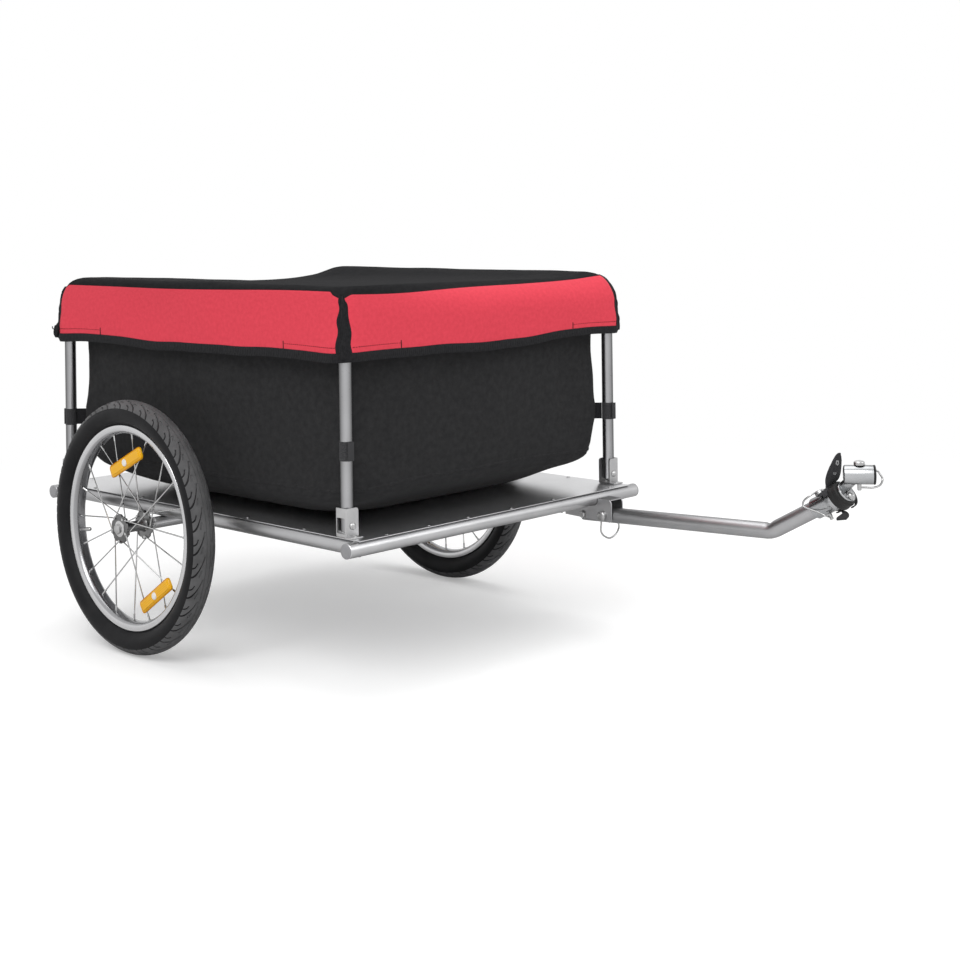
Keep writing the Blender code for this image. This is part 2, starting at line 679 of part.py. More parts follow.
def corner_bracket(side, end):
    sign = SIDES[side]
    x = POSTS[end]
    inside = POST_RADIUS + SEAT_GAP
    outside = inside + PLATE_THICKNESS
    base = DECK_TOP_Z + SEAT_GAP
    top = PIVOT_Z + BRACKET_TOP_ABOVE_PIVOT
    web_out = POST_Y + outside
    open_edge = web_out - BRACKET_DEPTH
    name = f"{side}_{end}_bracket"

    def side_box(part, x_low, x_high, y_near, y_far, z_low, z_high):
        low_y, high_y = sorted((sign * y_near, sign * y_far))
        return box(part, ZINC_PLATE, (x_low, low_y, z_low), (x_high, high_y, z_high))

    bracket = side_box(name, x - outside, x + outside, open_edge, web_out, base, top)
    hollow = side_box(
        name + "_hollow", x - inside, x + inside, open_edge - PLATE_THICKNESS,
        web_out - PLATE_THICKNESS, base + PLATE_THICKNESS, top + PLATE_THICKNESS)
    window = side_box(
        name + "_window", x - WINDOW_HALF_WIDTH, x + WINDOW_HALF_WIDTH,
        web_out - PLATE_THICKNESS * 2, web_out + PLATE_THICKNESS,
        PIVOT_Z - WINDOW_HALF_HEIGHT, PIVOT_Z + WINDOW_HALF_HEIGHT)
    ahead = 1 if end == "front" else -1
    tab_start = x + ahead * (outside - PLATE_THICKNESS / 2)
    tab_end = x + ahead * (outside + BRACKET_TAB_LENGTH)
    tab_low, tab_high = sorted((tab_start, tab_end))
    tab = side_box(
        name + "_tab", tab_low, tab_high, open_edge, web_out, base, base + PLATE_THICKNESS)
    join(bracket, tab)
    cut(bracket, hollow)
    cut(bracket, window)
    hole = rod(
        name + "_hole", ZINC_PLATE, (x - outside * 2, sign * POST_Y, PIVOT_Z),
        (x + outside * 2, sign * POST_Y, PIVOT_Z), BOLT_RADIUS + HOLE_CLEARANCE)
    cut(bracket, hole)


def double_headed_bolt(name, centre, direction, half_grip, look=BOLT_STEEL):
    # A bolt and its nut as one turned piece, with a round head at each end of the grip.
    head = half_grip + BOLT_HEAD_THICKNESS
    upper = [
        (0, head), (BOLT_HEAD_RADIUS * 0.6, head),
        (BOLT_HEAD_RADIUS, half_grip + BOLT_HEAD_THICKNESS * 0.4),
        (BOLT_HEAD_RADIUS, half_grip), (BOLT_RADIUS, half_grip),
    ]
    lower = [(radius, -height) for radius, height in reversed(upper)]
    return turned(name, look, upper + lower, centre, direction, SMALL_SIDES)


def post(side, end, parent):
    sign = SIDES[side]
    x = POSTS[end]
    y = sign * POST_Y
    tube = pipe(
        f"{side}_{end}_post", GREY_TUBE, (x, y, PIVOT_Z - POST_BELOW_PIVOT),
        (x, y, TOP_RAIL_JOINT_Z), POST_RADIUS, POST_WALL)
    reach = POST_RADIUS * 1.5
    hole = rod(
        f"{side}_{end}_post_hole", GREY_TUBE, (x - reach, y, PIVOT_Z), (x + reach, y, PIVOT_Z),
        BOLT_RADIUS + HOLE_CLEARANCE)
    cut(tube, hole)
    strap = bag_strap(side, end)
    hang_on(parent, tube, strap)


def bag_strap(side, end):
    sign = SIDES[side]
    x = POSTS[end]
    inner = POST_RADIUS + SEAT_GAP
    outer = inner + STRAP_THICKNESS
    half = STRAP_HEIGHT / 2
    profile = [(outer, half), (outer, -half), (inner, -half), (inner, half)]
    strap = turned(
        f"{side}_{end}_strap", WEBBING, profile, (x, sign * POST_Y, STRAP_Z[end]), Z_AXIS, TUBE_SIDES,
        closed=True)
    inward = -1 if end == "front" else 1
    angle = math.atan2(-sign, inward)
    start = inner + STRAP_THICKNESS / 2
    bpy.ops.mesh.primitive_cube_add(size=1)
    tab = bpy.context.active_object
    tab.scale = (STRAP_TAB_LENGTH, STRAP_THICKNESS * 2, STRAP_HEIGHT * 0.96)
    bpy.ops.object.transform_apply(location=False, rotation=False, scale=True)
    keep(tab, f"{side}_{end}_strap_tab", WEBBING)
    middle = start + STRAP_TAB_LENGTH / 2
    tab.location = (
        x + middle * math.cos(angle), sign * POST_Y + middle * math.sin(angle), STRAP_Z[end])
    tab.rotation_euler = (0, 0, angle)
    return join(strap, tab)


def side_frames():
    for side, sign in SIDES.items():
        y = sign * POST_Y
        parent = group_empty(f"{side}_side_frame", ((FRONT_POST_X + REAR_POST_X) / 2, y, PIVOT_Z))
        for end, x in POSTS.items():
            corner_bracket(side, end)
            grip = POST_RADIUS + 2 * SEAT_GAP + PLATE_THICKNESS
            double_headed_bolt(f"{side}_{end}_pivot_bolt", (x, y, PIVOT_Z), X_AXIS, grip)
            post(side, end, parent)
        leg = TOP_RAIL_JOINT_Z + SEAT_GAP
        corners = [
            (REAR_POST_X, y, leg), (REAR_POST_X, y, HOOP_Z),
            (FRONT_POST_X, y, HOOP_Z), (FRONT_POST_X, y, leg),
        ]
        rail = bent_pipe(
            f"{side}_top_rail", GREY_TUBE, corners, POST_RADIUS, POST_WALL, TOP_RAIL_BEND_RADIUS)
        hang_on(parent, rail)


# Cargo bag and cover: rings of a rounded rectangle, bridged into a shell

def rounded_ring(x_low, x_high, half_width, corner, per_corner, height):
    ring = []
    corners = [
        (x_high - corner, half_width - corner, 0), (x_low + corner, half_width - corner, 90),
        (x_low + corner, corner - half_width, 180), (x_high - corner, corner - half_width, 270),
    ]
    for x, y, start in corners:
        for i in range(per_corner + 1):
            angle = math.radians(start + 90 * i / per_corner)
            px = x + corner * math.cos(angle)
            py = y + corner * math.sin(angle)
            ring.append(Vector((px, py, height)))
    return ring


def with_side_points(ring, per_corner, per_side):
    # Adds points along the four straight sides, so that the sides can sag or bulge.
    dense = []
    block = per_corner + 1
    for k in range(4):
        dense += ring[k * block:(k + 1) * block]
        a = ring[(k + 1) * block - 1]
        b = ring[((k + 1) * block) % len(ring)]
        dense += [a.lerp(b, (i + 1) / (per_side + 1)) for i in range(per_side)]
    return dense


def ring_shell(name, look, rings, close_last, thickness):
    work = bmesh.new()
    rows = [[work.verts.new(point) for point in ring] for ring in rings]
    for above, below in zip(rows, rows[1:]):
        count = len(above)
        for i in range(count):
            j = (i + 1) % count
            work.faces.new((above[i], above[j], below[j], below[i]))
    if close_last:
        work.faces.new(rows[-1])
    bmesh.ops.recalc_face_normals(work, faces=work.faces)
    mesh = bpy.data.meshes.new(name)
    work.to_mesh(mesh)
    work.free()
    obj = keep(bpy.data.objects.new(name, mesh), name, look)
    wall = obj.modifiers.new("wall", 'SOLIDIFY')
    wall.thickness = thickness
    wall.offset = -1
    wall.use_even_offset = True
    round_smooth(mesh, 60)
    return obj


def cargo_bag():
    mouth_width = POST_Y - POST_RADIUS - 2 * SEAT_GAP
    low_x = REAR_RAIL_X + BAG_REAR_INSET
    high_x = FRONT_RAIL_X - BAG_FRONT_INSET
    floor = DECK_TOP_Z + 2 * SEAT_GAP
    # Each level: height, how far the ends and the sides draw in, and the corner radius
    levels = [
        (BAG_MOUTH_Z, 0.000, 0.000, 0.020), ((BAG_MOUTH_Z + STRAP_Z["front"]) / 2, 0.004, 0.006, 0.022),
        (STRAP_Z["front"], 0.002, 0.008, 0.024), (BAG_SEAM_Z, 0.004, 0.010, 0.032),
        (BAG_SEAM_Z - 0.014, 0.010, 0.018, 0.042), (BAG_SEAM_Z - 0.024, 0.035, 0.048, 0.060),
        (floor + 0.012, 0.090, 0.100, 0.080), (floor, 0.140, 0.155, 0.090),
    ]
    rings = []
    for height, end_in, side_in, corner in levels:
        ring = rounded_ring(
            low_x + end_in, high_x - end_in, mouth_width - side_in, corner, 3, height)
        rings.append(with_side_points(ring, 3, 3))
    return ring_shell("cargo_bag", BLACK_CLOTH, rings, True, FABRIC_THICKNESS)


def cover():
    ease = COVER_EASE + FABRIC_THICKNESS
    rise = OVERALL_HEIGHT - HOOP_Z
    low_x = REAR_POST_X - POST_RADIUS - ease
    high_x = FRONT_POST_X + POST_RADIUS + ease
    width = POST_Y + POST_RADIUS + ease
    middle_x = (low_x + high_x) / 2
    bend_z = HOOP_Z - TOP_RAIL_BEND_RADIUS

    def sag(px, py):
        share = (px - low_x) / (high_x - low_x)
        depth = COVER_REAR_SAG + (COVER_FRONT_SAG - COVER_REAR_SAG) * share
        return depth * max(0.0, 1 - (py / POST_Y) ** 2)

    def level(height):
        # The ends follow the bends of the top rails, and the sides the round of their tubes.
        end_turn = math.asin(max(0.0, (height - bend_z) / (OVERALL_HEIGHT - bend_z)))
        side_turn = math.asin(max(0.0, (height - HOOP_Z) / rise))
        end_in = (TOP_RAIL_BEND_RADIUS + POST_RADIUS + ease) * (1 - math.cos(end_turn))
        side_in = (POST_RADIUS + ease) * (1 - math.cos(side_turn))
        return end_in, side_in

    # Each level: height, how far the ends and the sides draw in, corner radius, share of the sag
    levels = [(COVER_HEM_Z, 0.0, 0.0, 0.020, 0.0)]
    for angle in COVER_BEND_ANGLES:
        turn = math.sin(math.radians(angle))
        height = bend_z + (OVERALL_HEIGHT - bend_z) * turn
        levels.append((height, *level(height), 0.020 - 0.006 * turn, turn))
    end_in, side_in = level(OVERALL_HEIGHT)
    levels.append((OVERALL_HEIGHT, end_in + 0.040, side_in + 0.055, 0.060, 1.0))
    levels.append((OVERALL_HEIGHT, end_in + 0.130, side_in + 0.155, 0.100, 1.0))
    rings = []
    for height, end_in, side_in, corner, share in levels:
        ring = rounded_ring(low_x + end_in, high_x - end_in, width - side_in, corner, 3, height)
        dense = with_side_points(ring, 3, 5)
        for point in dense:
            point.z = height - share * sag(point.x, point.y)
        rings.append(dense)
    last = rings[-1]
    centre_ring = []
    for point in last:
        x = middle_x + (point.x - middle_x) * 0.55
        y = point.y * 0.30
        centre_ring.append(Vector((x, y, OVERALL_HEIGHT - sag(x, y))))
    rings.append(centre_ring)
    return ring_shell("cargo_cover", RED_CLOTH, rings, True, FABRIC_THICKNESS)


# Tow arm, its bracket and pins

def tow_arm_bracket():
    inner = ARM_RADIUS + ARM_SIDE_CLEARANCE
    outer = inner + PLATE_THICKNESS
    rail_bottom = RAIL_Z - RAIL_RADIUS
    web_top = RAIL_Z + ARM_BRACKET_RISE
    low_rear = ARM_PIVOT_Z - ARM_BRACKET_DROP * 0.5
    low_front = ARM_PIVOT_Z - ARM_BRACKET_DROP
    rear = FRONT_RAIL_X - ARM_BRACKET_REAR
    front = FRONT_RAIL_X + ARM_BRACKET_FRONT
    behind_rail = FRONT_RAIL_X - RAIL_RADIUS - 0.002
    outline = [
        (rear, low_rear), (front, low_front), (front, web_top), (behind_rail, web_top),
        (behind_rail, rail_bottom - 0.001), (rear, low_rear + 0.006),
    ]
    bracket = outline_plate(
        "tow_arm_bracket", ZINC_PLATE, outline, 2 * outer, (0, ARM_Y, 0), (math.pi / 2, 0, 0))
    channel = box(
        "arm_channel", ZINC_PLATE,
        (rear - 0.01, ARM_Y - inner, low_front - 0.01),
        (front + 0.01, ARM_Y + inner, web_top - PLATE_THICKNESS))
    cut(bracket, channel)
    notch = rod(
        "rail_notch", ZINC_PLATE, (FRONT_RAIL_X, ARM_Y - outer * 1.5, RAIL_Z),
        (FRONT_RAIL_X, ARM_Y + outer * 1.5, RAIL_Z), RAIL_RADIUS + SEAT_GAP, TUBE_SIDES)
    cut(bracket, notch)
    clear = box(
        "rail_clearance", ZINC_PLATE,
        (FRONT_RAIL_X - RAIL_RADIUS - 0.01, ARM_Y - outer * 1.5, RAIL_Z),
        (FRONT_RAIL_X + RAIL_RADIUS + SEAT_GAP, ARM_Y + outer * 1.5, web_top + 0.01))
    cut(bracket, clear)
    pivot_hole = rod(
        "arm_pivot_hole", ZINC_PLATE, ARM_PIVOT - Y_AXIS * outer * 1.5,
        ARM_PIVOT + Y_AXIS * outer * 1.5, BOLT_RADIUS + HOLE_CLEARANCE)
    cut(bracket, pivot_hole)
    # The pin's two seats are slots open below, one in front of the pivot and one behind it.
    slot_half = BOLT_RADIUS + 2 * HOLE_CLEARANCE
    for label, place in (("front", LOCK_PIN), ("rear", 2 * ARM_PIVOT - LOCK_PIN)):
        seat = rod(
            f"{label}_pin_seat", ZINC_PLATE, place - Y_AXIS * outer * 1.5,
            place + Y_AXIS * outer * 1.5, slot_half)
        cut(bracket, seat)
        reach = place - ARM_PIVOT
        slot = box(
            f"{label}_pin_slot", ZINC_PLATE,
            (place.x - slot_half, ARM_Y - outer * 1.5, low_front - 0.01),
            (place.x + slot_half, ARM_Y + outer * 1.5, place.z))
        if reach.x < 0:
            slot.location.x -= 0.0001
        cut(bracket, slot)
    grip = outer + SEAT_GAP
    double_headed_bolt("arm_pivot_bolt", ARM_PIVOT, Y_AXIS, grip)


def tow_arm(parent):
    start = ARM_PIVOT - ARM_RISE_DIRECTION * ARM_REAR_END
    end = ARM_BEND + UPPER_ARM_DIRECTION * UPPER_ARM_LENGTH
    arm = bent_pipe(
        "tow_arm", CHROME, [start, ARM_BEND, end], ARM_RADIUS, ARM_WALL, ARM_BEND_RADIUS)
    for name, centre, direction in (
            ("arm_bolt_bore", ARM_PIVOT, Y_AXIS), ("arm_lock_bore", LOCK_PIN, Y_AXIS),
            ("arm_end_bore", ARM_PIN_CENTRE, UPPER_ARM_NORMAL)):
        bore = rod(
            name, CHROME, centre - direction * ARM_RADIUS * 1.5,
            centre + direction * ARM_RADIUS * 1.5, BOLT_RADIUS + HOLE_CLEARANCE)
        cut(arm, bore)
    hang_on(parent, arm)


def arm_end_cup(parent):
    end = ARM_BEND + UPPER_ARM_DIRECTION * UPPER_ARM_LENGTH
    rear = end - UPPER_ARM_DIRECTION * CUP_OVERLAP
    length = CUP_OVERLAP + FLEX_FROM_BEND - UPPER_ARM_LENGTH
    bore = ARM_RADIUS + SEAT_GAP
    floor = CUP_OVERLAP + SEAT_GAP
    profile = [
        (0, length), (CUP_FLARE_RADIUS, length), (CUP_FLARE_RADIUS, length - 0.014),
        (CUP_RADIUS, length - 0.020), (CUP_RADIUS, 0), (bore, 0), (bore, floor), (0, floor),
    ]
    cup = turned(
        "arm_end_cup", HITCH_ALLOY, profile, rear, UPPER_ARM_DIRECTION, TUBE_SIDES)
    face = FLEX_CENTRE - FLEX_AXIS * (FLEX_THICKNESS / 2 + SEAT_GAP)
    trim = rod(
        "cup_trim", HITCH_ALLOY, face, face + FLEX_AXIS * FLEX_THICKNESS * 1.5, FLEX_RADIUS * 1.5)
    cut(cup, trim)
    hole = rod(
        "cup_pin_hole", HITCH_ALLOY, ARM_PIN_CENTRE - UPPER_ARM_NORMAL * CUP_RADIUS * 1.5,
        ARM_PIN_CENTRE + UPPER_ARM_NORMAL * CUP_RADIUS * 1.5,
        HITCH_PIN_RADIUS + HOLE_CLEARANCE)
    cut(cup, hole)
    hang_on(parent, cup)


def headed_pin(name, centre, direction, grip, tail):
    # The pin crosses a piece of the half-thickness grip; its head stands on the near side.
    height = grip + HITCH_PIN_HEAD_THICKNESS
    profile = [
        (0, height), (HITCH_PIN_HEAD_RADIUS * 0.75, height),
        (HITCH_PIN_HEAD_RADIUS, grip + HITCH_PIN_HEAD_THICKNESS * 0.6),
        (HITCH_PIN_HEAD_RADIUS, grip), (HITCH_PIN_RADIUS, grip),
        (HITCH_PIN_RADIUS, -grip - tail), (0, -grip - tail),
    ]
    return turned(name, BOLT_STEEL, profile, centre, direction, SMALL_SIDES)


def smooth_route(points, per_span):
    # A Catmull-Rom curve through the points.
    route = []
    for i in range(len(points) - 1):
        before = points[max(i - 1, 0)]
        here, there = points[i], points[i + 1]
        after = points[min(i + 2, len(points) - 1)]
        for k in range(per_span):
            t = k / per_span
            route.append(0.5 * (
                2 * here + (there - before) * t
                + (2 * before - 5 * here + 4 * there - after) * t * t
                + (3 * here - before - 3 * there + after) * t ** 3))
    route.append(points[-1])
    return route


def wire_bail(name, centre, along, up, out, shape):
    # The shape's numbers run along the piece, up towards the pin's head, and out to one side.
    points = [centre + along * a + up * b + out * c for a, b, c in shape]
    return swept(name, WIRE_STEEL, smooth_route(points, 2), WIRE_RADIUS, 1)


def arm_pin_and_bail(parent):
    grip = CUP_RADIUS + SEAT_GAP
    pin = headed_pin("arm_pin", ARM_PIN_CENTRE, UPPER_ARM_NORMAL, grip, HITCH_PIN_TAIL)
    clear = CUP_RADIUS + WIRE_RADIUS + 0.0015
    high = grip + HITCH_PIN_HEAD_THICKNESS / 2
    low = -grip - HITCH_PIN_TAIL / 2
    head_side = HITCH_PIN_HEAD_RADIUS + SEAT_GAP + 0.0002
    tail_side = HITCH_PIN_RADIUS + SEAT_GAP
    shape = [
        (0.0, high, head_side), (-0.003, high, head_side + 0.005),
        (-0.011, high * 0.62, clear), (-0.024, high * 0.25, clear), (-0.034, -0.002, clear),
        (-0.026, low * 0.35, clear), (-0.012, low * 0.70, clear), (-0.003, low, tail_side + 0.007),
        (0.0, low, tail_side),
    ]
    bail = wire_bail(
        "arm_pin_bail", ARM_PIN_CENTRE, UPPER_ARM_DIRECTION, UPPER_ARM_NORMAL, -Y_AXIS, shape)
    hang_on(parent, pin, bail)


def lock_pin_and_bail(parent):
    grip = ARM_RADIUS + ARM_SIDE_CLEARANCE + PLATE_THICKNESS + SEAT_GAP
    pin = headed_pin("lock_pin", LOCK_PIN, -Y_AXIS, grip, HITCH_PIN_TAIL)
    near = grip + HITCH_PIN_HEAD_THICKNESS / 2
    far = -grip - HITCH_PIN_TAIL / 2
    head_side = HITCH_PIN_HEAD_RADIUS + SEAT_GAP + 0.0002
    tail_side = HITCH_PIN_RADIUS + SEAT_GAP
    drop = LOCK_BAIL_DROP
    shape = [
        (0.0, near, head_side), (0.001, near + 0.0015, head_side + 0.006),
        (0.003, near * 0.85, drop * 0.72), (0.004, near * 0.35, drop * 0.98),
        (0.003, far * 0.40, drop * 0.93), (0.002, far, drop * 0.60),
        (0.0, far, tail_side + 0.005), (0.0, far, tail_side),
    ]
    bail = wire_bail("lock_pin_bail", LOCK_PIN, X_AXIS, -Y_AXIS, -Z_AXIS, shape)
    hang_on(parent, pin, bail)


# Hitch

def coupler_bolt_foot():
    face = FLEX_CENTRE + FLEX_AXIS * (FLEX_THICKNESS / 2)
    return face - FLEX_UP * COUPLER_BOLT_OFFSET


def flex_disc(parent):
    half = FLEX_THICKNESS / 2
    edge = FLEX_RADIUS * 0.9
    profile = [
        (0, half), (edge, half), (FLEX_RADIUS, half * 0.55), (FLEX_RADIUS, -half * 0.55),
        (edge, -half), (0, -half),
    ]
    disc = turned(
        "flex_disc", FLEX_RUBBER, profile, FLEX_CENTRE, FLEX_AXIS, TUBE_SIDES)
    foot = coupler_bolt_foot()
    socket = rod(
        "disc_bolt_hole", FLEX_RUBBER, foot - FLEX_AXIS * (COUPLER_BOLT_DEPTH + SEAT_GAP),
        foot + FLEX_AXIS * 0.01, BOLT_RADIUS + HOLE_CLEARANCE)
    cut(disc, socket)
    hang_on(parent, disc)


def coupler_barrel(parent):
    rear = BARREL_CENTRE - BARREL_AXIS * BARREL_LENGTH / 2
    front = BARREL_CENTRE + BARREL_AXIS * BARREL_LENGTH / 2
    barrel = rod("coupler_barrel", HITCH_ALLOY, rear, front, BARREL_RADIUS, 24)
    flange_start = FLEX_CENTRE + FLEX_AXIS * (FLEX_THICKNESS / 2 + SEAT_GAP)
    flange_end = flange_start + FLEX_AXIS * COUPLER_FLANGE_THICKNESS
    flange = rod(
        "coupler_flange", HITCH_ALLOY, flange_start, flange_end, COUPLER_FLANGE_RADIUS,
        TUBE_SIDES)
    neck_start = (flange_start + flange_end) / 2 + FLEX_UP * NECK_OFFSET
    neck_end = BARREL_CENTRE - BARREL_AXIS * BARREL_LENGTH * 0.25 - Z_AXIS * BARREL_RADIUS * 0.55
    neck = rod("coupler_neck", HITCH_ALLOY, neck_start, neck_end, NECK_RADIUS, TUBE_SIDES)
    join(barrel, neck)
    join(barrel, flange)
    trim = rod(
        "coupler_trim", HITCH_ALLOY, flange_start - FLEX_AXIS * FLEX_THICKNESS, flange_start,
        FLEX_RADIUS * 1.5)
    cut(barrel, trim)
    socket = rod(
        "hitch_socket", HITCH_ALLOY, front - BARREL_AXIS * SOCKET_DEPTH, front + BARREL_AXIS * 0.01,
        BARREL_BORE, TUBE_SIDES)
    cut(barrel, socket)
    hole = rod(
        "hitch_pin_hole", HITCH_ALLOY, BARREL_CENTRE - Z_AXIS * BARREL_RADIUS * 1.5,
        BARREL_CENTRE + Z_AXIS * BARREL_RADIUS * 1.5, HITCH_PIN_RADIUS + HOLE_CLEARANCE)
    cut(barrel, hole)
    foot = coupler_bolt_foot()
    bolt_hole = rod(
        "flange_bolt_hole", HITCH_ALLOY, foot - FLEX_AXIS * 0.01, foot + FLEX_AXIS * 0.01,
        BOLT_RADIUS + HOLE_CLEARANCE)
    cut(barrel, bolt_hole)
    seat = COUPLER_FLANGE_THICKNESS + 2 * SEAT_GAP
    height = seat + COUPLER_BOLT_HEAD_RADIUS * 0.85
    radius = COUPLER_BOLT_HEAD_RADIUS
    profile = [
        (0, height), (radius * 0.45, height - radius * 0.08), (radius * 0.85, height - radius * 0.35),
        (radius, seat + radius * 0.2), (radius, seat), (BOLT_RADIUS, seat),
        (BOLT_RADIUS, -COUPLER_BOLT_DEPTH), (0, -COUPLER_BOLT_DEPTH),
    ]
    bolt = turned("coupler_bolt", BOLT_STEEL, profile, foot, FLEX_AXIS, SMALL_SIDES)
    hang_on(parent, barrel, bolt)


def hitch_pin_and_bail(parent):
    grip = BARREL_RADIUS + SEAT_GAP
    pin = headed_pin("hitch_pin", BARREL_CENTRE, Z_AXIS, grip, HITCH_PIN_TAIL)
    side = BARREL_RADIUS + WIRE_RADIUS + 0.0015
    high = grip + HITCH_PIN_HEAD_THICKNESS / 2
    low = -grip - HITCH_PIN_TAIL / 2
    head_side = HITCH_PIN_HEAD_RADIUS + SEAT_GAP + 0.0002
    tail_side = HITCH_PIN_RADIUS + SEAT_GAP
    face = BARREL_LENGTH / 2
    shape = [
        (0.0, high, head_side), (0.003, high, head_side + 0.006),
        (face * 0.6, high * 0.5, side + 0.001), (face + 0.004, high * 0.2, side),
        (BAIL_REACH - 0.003, 0.0, side * 0.5), (BAIL_REACH, low * 0.35, 0.0),
        (BAIL_REACH - 0.004, low * 0.80, -0.001), (face * 0.85, low, -0.001),
        (tail_side + 0.006, low, 0.0), (tail_side, low, 0.0),
    ]
    bail = wire_bail("hitch_pin_bail", BARREL_CENTRE, BARREL_AXIS, Z_AXIS, BARREL_SIDE, shape)
    hang_on(parent, pin, bail)


def safety_strap(parent):
    # A webbing collar round the flared cup, with a long leaf above it and a short one below.
    along = UPPER_ARM_LENGTH + 0.006
    centre = ARM_BEND + UPPER_ARM_DIRECTION * along
    inner = CUP_FLARE_RADIUS + 0.0006
    outer = inner + STRAP_THICKNESS
    half = 0.004
    profile = [(outer, half), (outer, -half), (inner, -half), (inner, half)]
    strap = turned(
        "safety_strap", WEBBING, profile, centre, UPPER_ARM_DIRECTION, TUBE_SIDES, closed=True)
    width = SAFETY_STRAP_WIDTH
    top = centre + UPPER_ARM_NORMAL * (outer - STRAP_THICKNESS / 2)
    leaf = box(
        "strap_upper_leaf", WEBBING,
        (top.x - STRAP_THICKNESS / 2, ARM_Y - width / 2, top.z),
        (top.x + STRAP_THICKNESS / 2, ARM_Y + width / 2, top.z + SAFETY_STRAP_RISE))
    join(strap, leaf)
    bottom = centre - UPPER_ARM_NORMAL * (outer - STRAP_THICKNESS / 2)
    lower = box(
        "strap_lower_leaf", WEBBING,
        (bottom.x - STRAP_THICKNESS / 2, ARM_Y - width / 2, bottom.z - SAFETY_STRAP_DROP),
        (bottom.x + STRAP_THICKNESS / 2, ARM_Y + width / 2, bottom.z))
    join(strap, lower)
    hang_on(parent, strap)


def build():
    deck_frame()
    stub_axles()
    wheels()
    side_frames()
    cargo_bag()
    cover()
    tow_arm_bracket()
    arm = group_empty("tow_arm_swing", ARM_PIVOT)
    arm_pin = group_empty("arm_pin_pull", ARM_PIN_CENTRE)
    lock = group_empty("lock_pin_pull", LOCK_PIN)
    flex = group_empty("coupler_yaw", FLEX_CENTRE)
    coupler = group_empty("coupler_pitch", FLEX_CENTRE)
    hitch = group_empty("hitch_pin_pull", BARREL_CENTRE)
    tow_arm(arm)
    arm_end_cup(arm)
    safety_strap(arm)
    arm_pin_and_bail(arm_pin)
    lock_pin_and_bail(lock)
    flex_disc(flex)
    coupler_barrel(coupler)
    hitch_pin_and_bail(hitch)
    hang_on(arm, arm_pin, lock, flex)
    hang_on(flex, coupler)
    hang_on(coupler, hitch)


build()
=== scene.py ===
import bmesh
import bpy
import math
from mathutils import Matrix, Vector, noise


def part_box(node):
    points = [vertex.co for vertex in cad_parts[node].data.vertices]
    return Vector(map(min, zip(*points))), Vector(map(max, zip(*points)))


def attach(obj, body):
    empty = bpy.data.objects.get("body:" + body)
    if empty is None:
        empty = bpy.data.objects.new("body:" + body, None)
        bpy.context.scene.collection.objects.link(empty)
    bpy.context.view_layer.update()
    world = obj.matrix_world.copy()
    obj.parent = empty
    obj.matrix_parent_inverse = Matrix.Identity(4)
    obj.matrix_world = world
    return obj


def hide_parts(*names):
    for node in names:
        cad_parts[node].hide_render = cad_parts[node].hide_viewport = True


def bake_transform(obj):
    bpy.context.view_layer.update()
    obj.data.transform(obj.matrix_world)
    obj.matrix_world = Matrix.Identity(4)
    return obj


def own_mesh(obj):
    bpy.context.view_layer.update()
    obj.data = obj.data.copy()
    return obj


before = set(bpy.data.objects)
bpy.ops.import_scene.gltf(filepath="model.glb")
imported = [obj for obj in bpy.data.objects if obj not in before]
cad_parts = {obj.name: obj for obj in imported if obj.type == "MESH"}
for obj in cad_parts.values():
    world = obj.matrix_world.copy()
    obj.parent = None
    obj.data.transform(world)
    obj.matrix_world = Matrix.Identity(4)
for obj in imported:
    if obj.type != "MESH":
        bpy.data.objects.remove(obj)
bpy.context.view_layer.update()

xAxis = Vector((1, 0, 0))
yAxis = Vector((0, 1, 0))
zAxis = Vector((0, 0, 1))
sides = {"right": -1, "left": 1}
ends = {"front": 1, "rear": -1}


def nodeBox(node):
    low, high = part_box(node)
    return {"low": low, "high": high, "mid": (low + high) / 2, "size": high - low}


# places read from the frame
frontRail = nodeBox("front_rail")
rearRail = nodeBox("rear_rail")
sideRail = nodeBox("left_side_rail")
frontX = frontRail["mid"].x
rearX = rearRail["mid"].x
railZ = frontRail["mid"].z
railRadius = frontRail["size"].z / 2
deck = nodeBox("deck_panel")
deckTop = deck["high"].z
wheelBox = nodeBox("right_tyre")
wheelRadius = wheelBox["size"].z / 2
axleX = wheelBox["mid"].x
wheelY = abs(wheelBox["mid"].y)
posts = {end: nodeBox(f"right_{end}_post") for end in ends}
postRadius = posts["front"]["size"].x / 2
postY = abs(posts["front"]["mid"].y)
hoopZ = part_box("right_top_rail")[1].z - postRadius


# Building helpers

def pick(*pieces):
    if bpy.context.object and bpy.context.object.mode != 'OBJECT':
        objectMode()
    bpy.ops.object.select_all(action='DESELECT')
    for piece in pieces:
        piece.select_set(True)
    bpy.context.view_layer.objects.active = pieces[0]


def settle(piece):
    pick(piece)
    bpy.ops.object.transform_apply(location=True, rotation=True, scale=True)
    return piece


def editMode():
    bpy.ops.object.mode_set(mode='EDIT')


def objectMode():
    bpy.ops.object.mode_set(mode='OBJECT')


def newest(name):
    bpy.context.object.name = name
    return bpy.context.object


def applyStep(piece, kind, **values):
    # adds one modifier, sets it and applies it
    made = piece.modifiers.new(kind, kind)
    for key, value in values.items():
        setattr(made, key, value)
    pick(piece)
    bpy.ops.object.modifier_apply(modifier=made.name)
    return piece


def thicken(piece, thickness, offset=-1):
    return applyStep(piece, 'SOLIDIFY', thickness=thickness, offset=offset)


def softEdges(piece, width, segments, degrees):
    return applyStep(piece, 'BEVEL', width=width, segments=segments, limit_method='ANGLE',
                     angle_limit=math.radians(degrees))


def cutWith(tool, *pieces):
    for piece in pieces:
        applyStep(piece, 'BOOLEAN', operation='DIFFERENCE', object=tool)
    bpy.data.objects.remove(tool)


def copyPiece(piece):
    copy = piece.copy()
    copy.data = piece.data.copy()
    bpy.context.collection.objects.link(copy)
    return copy


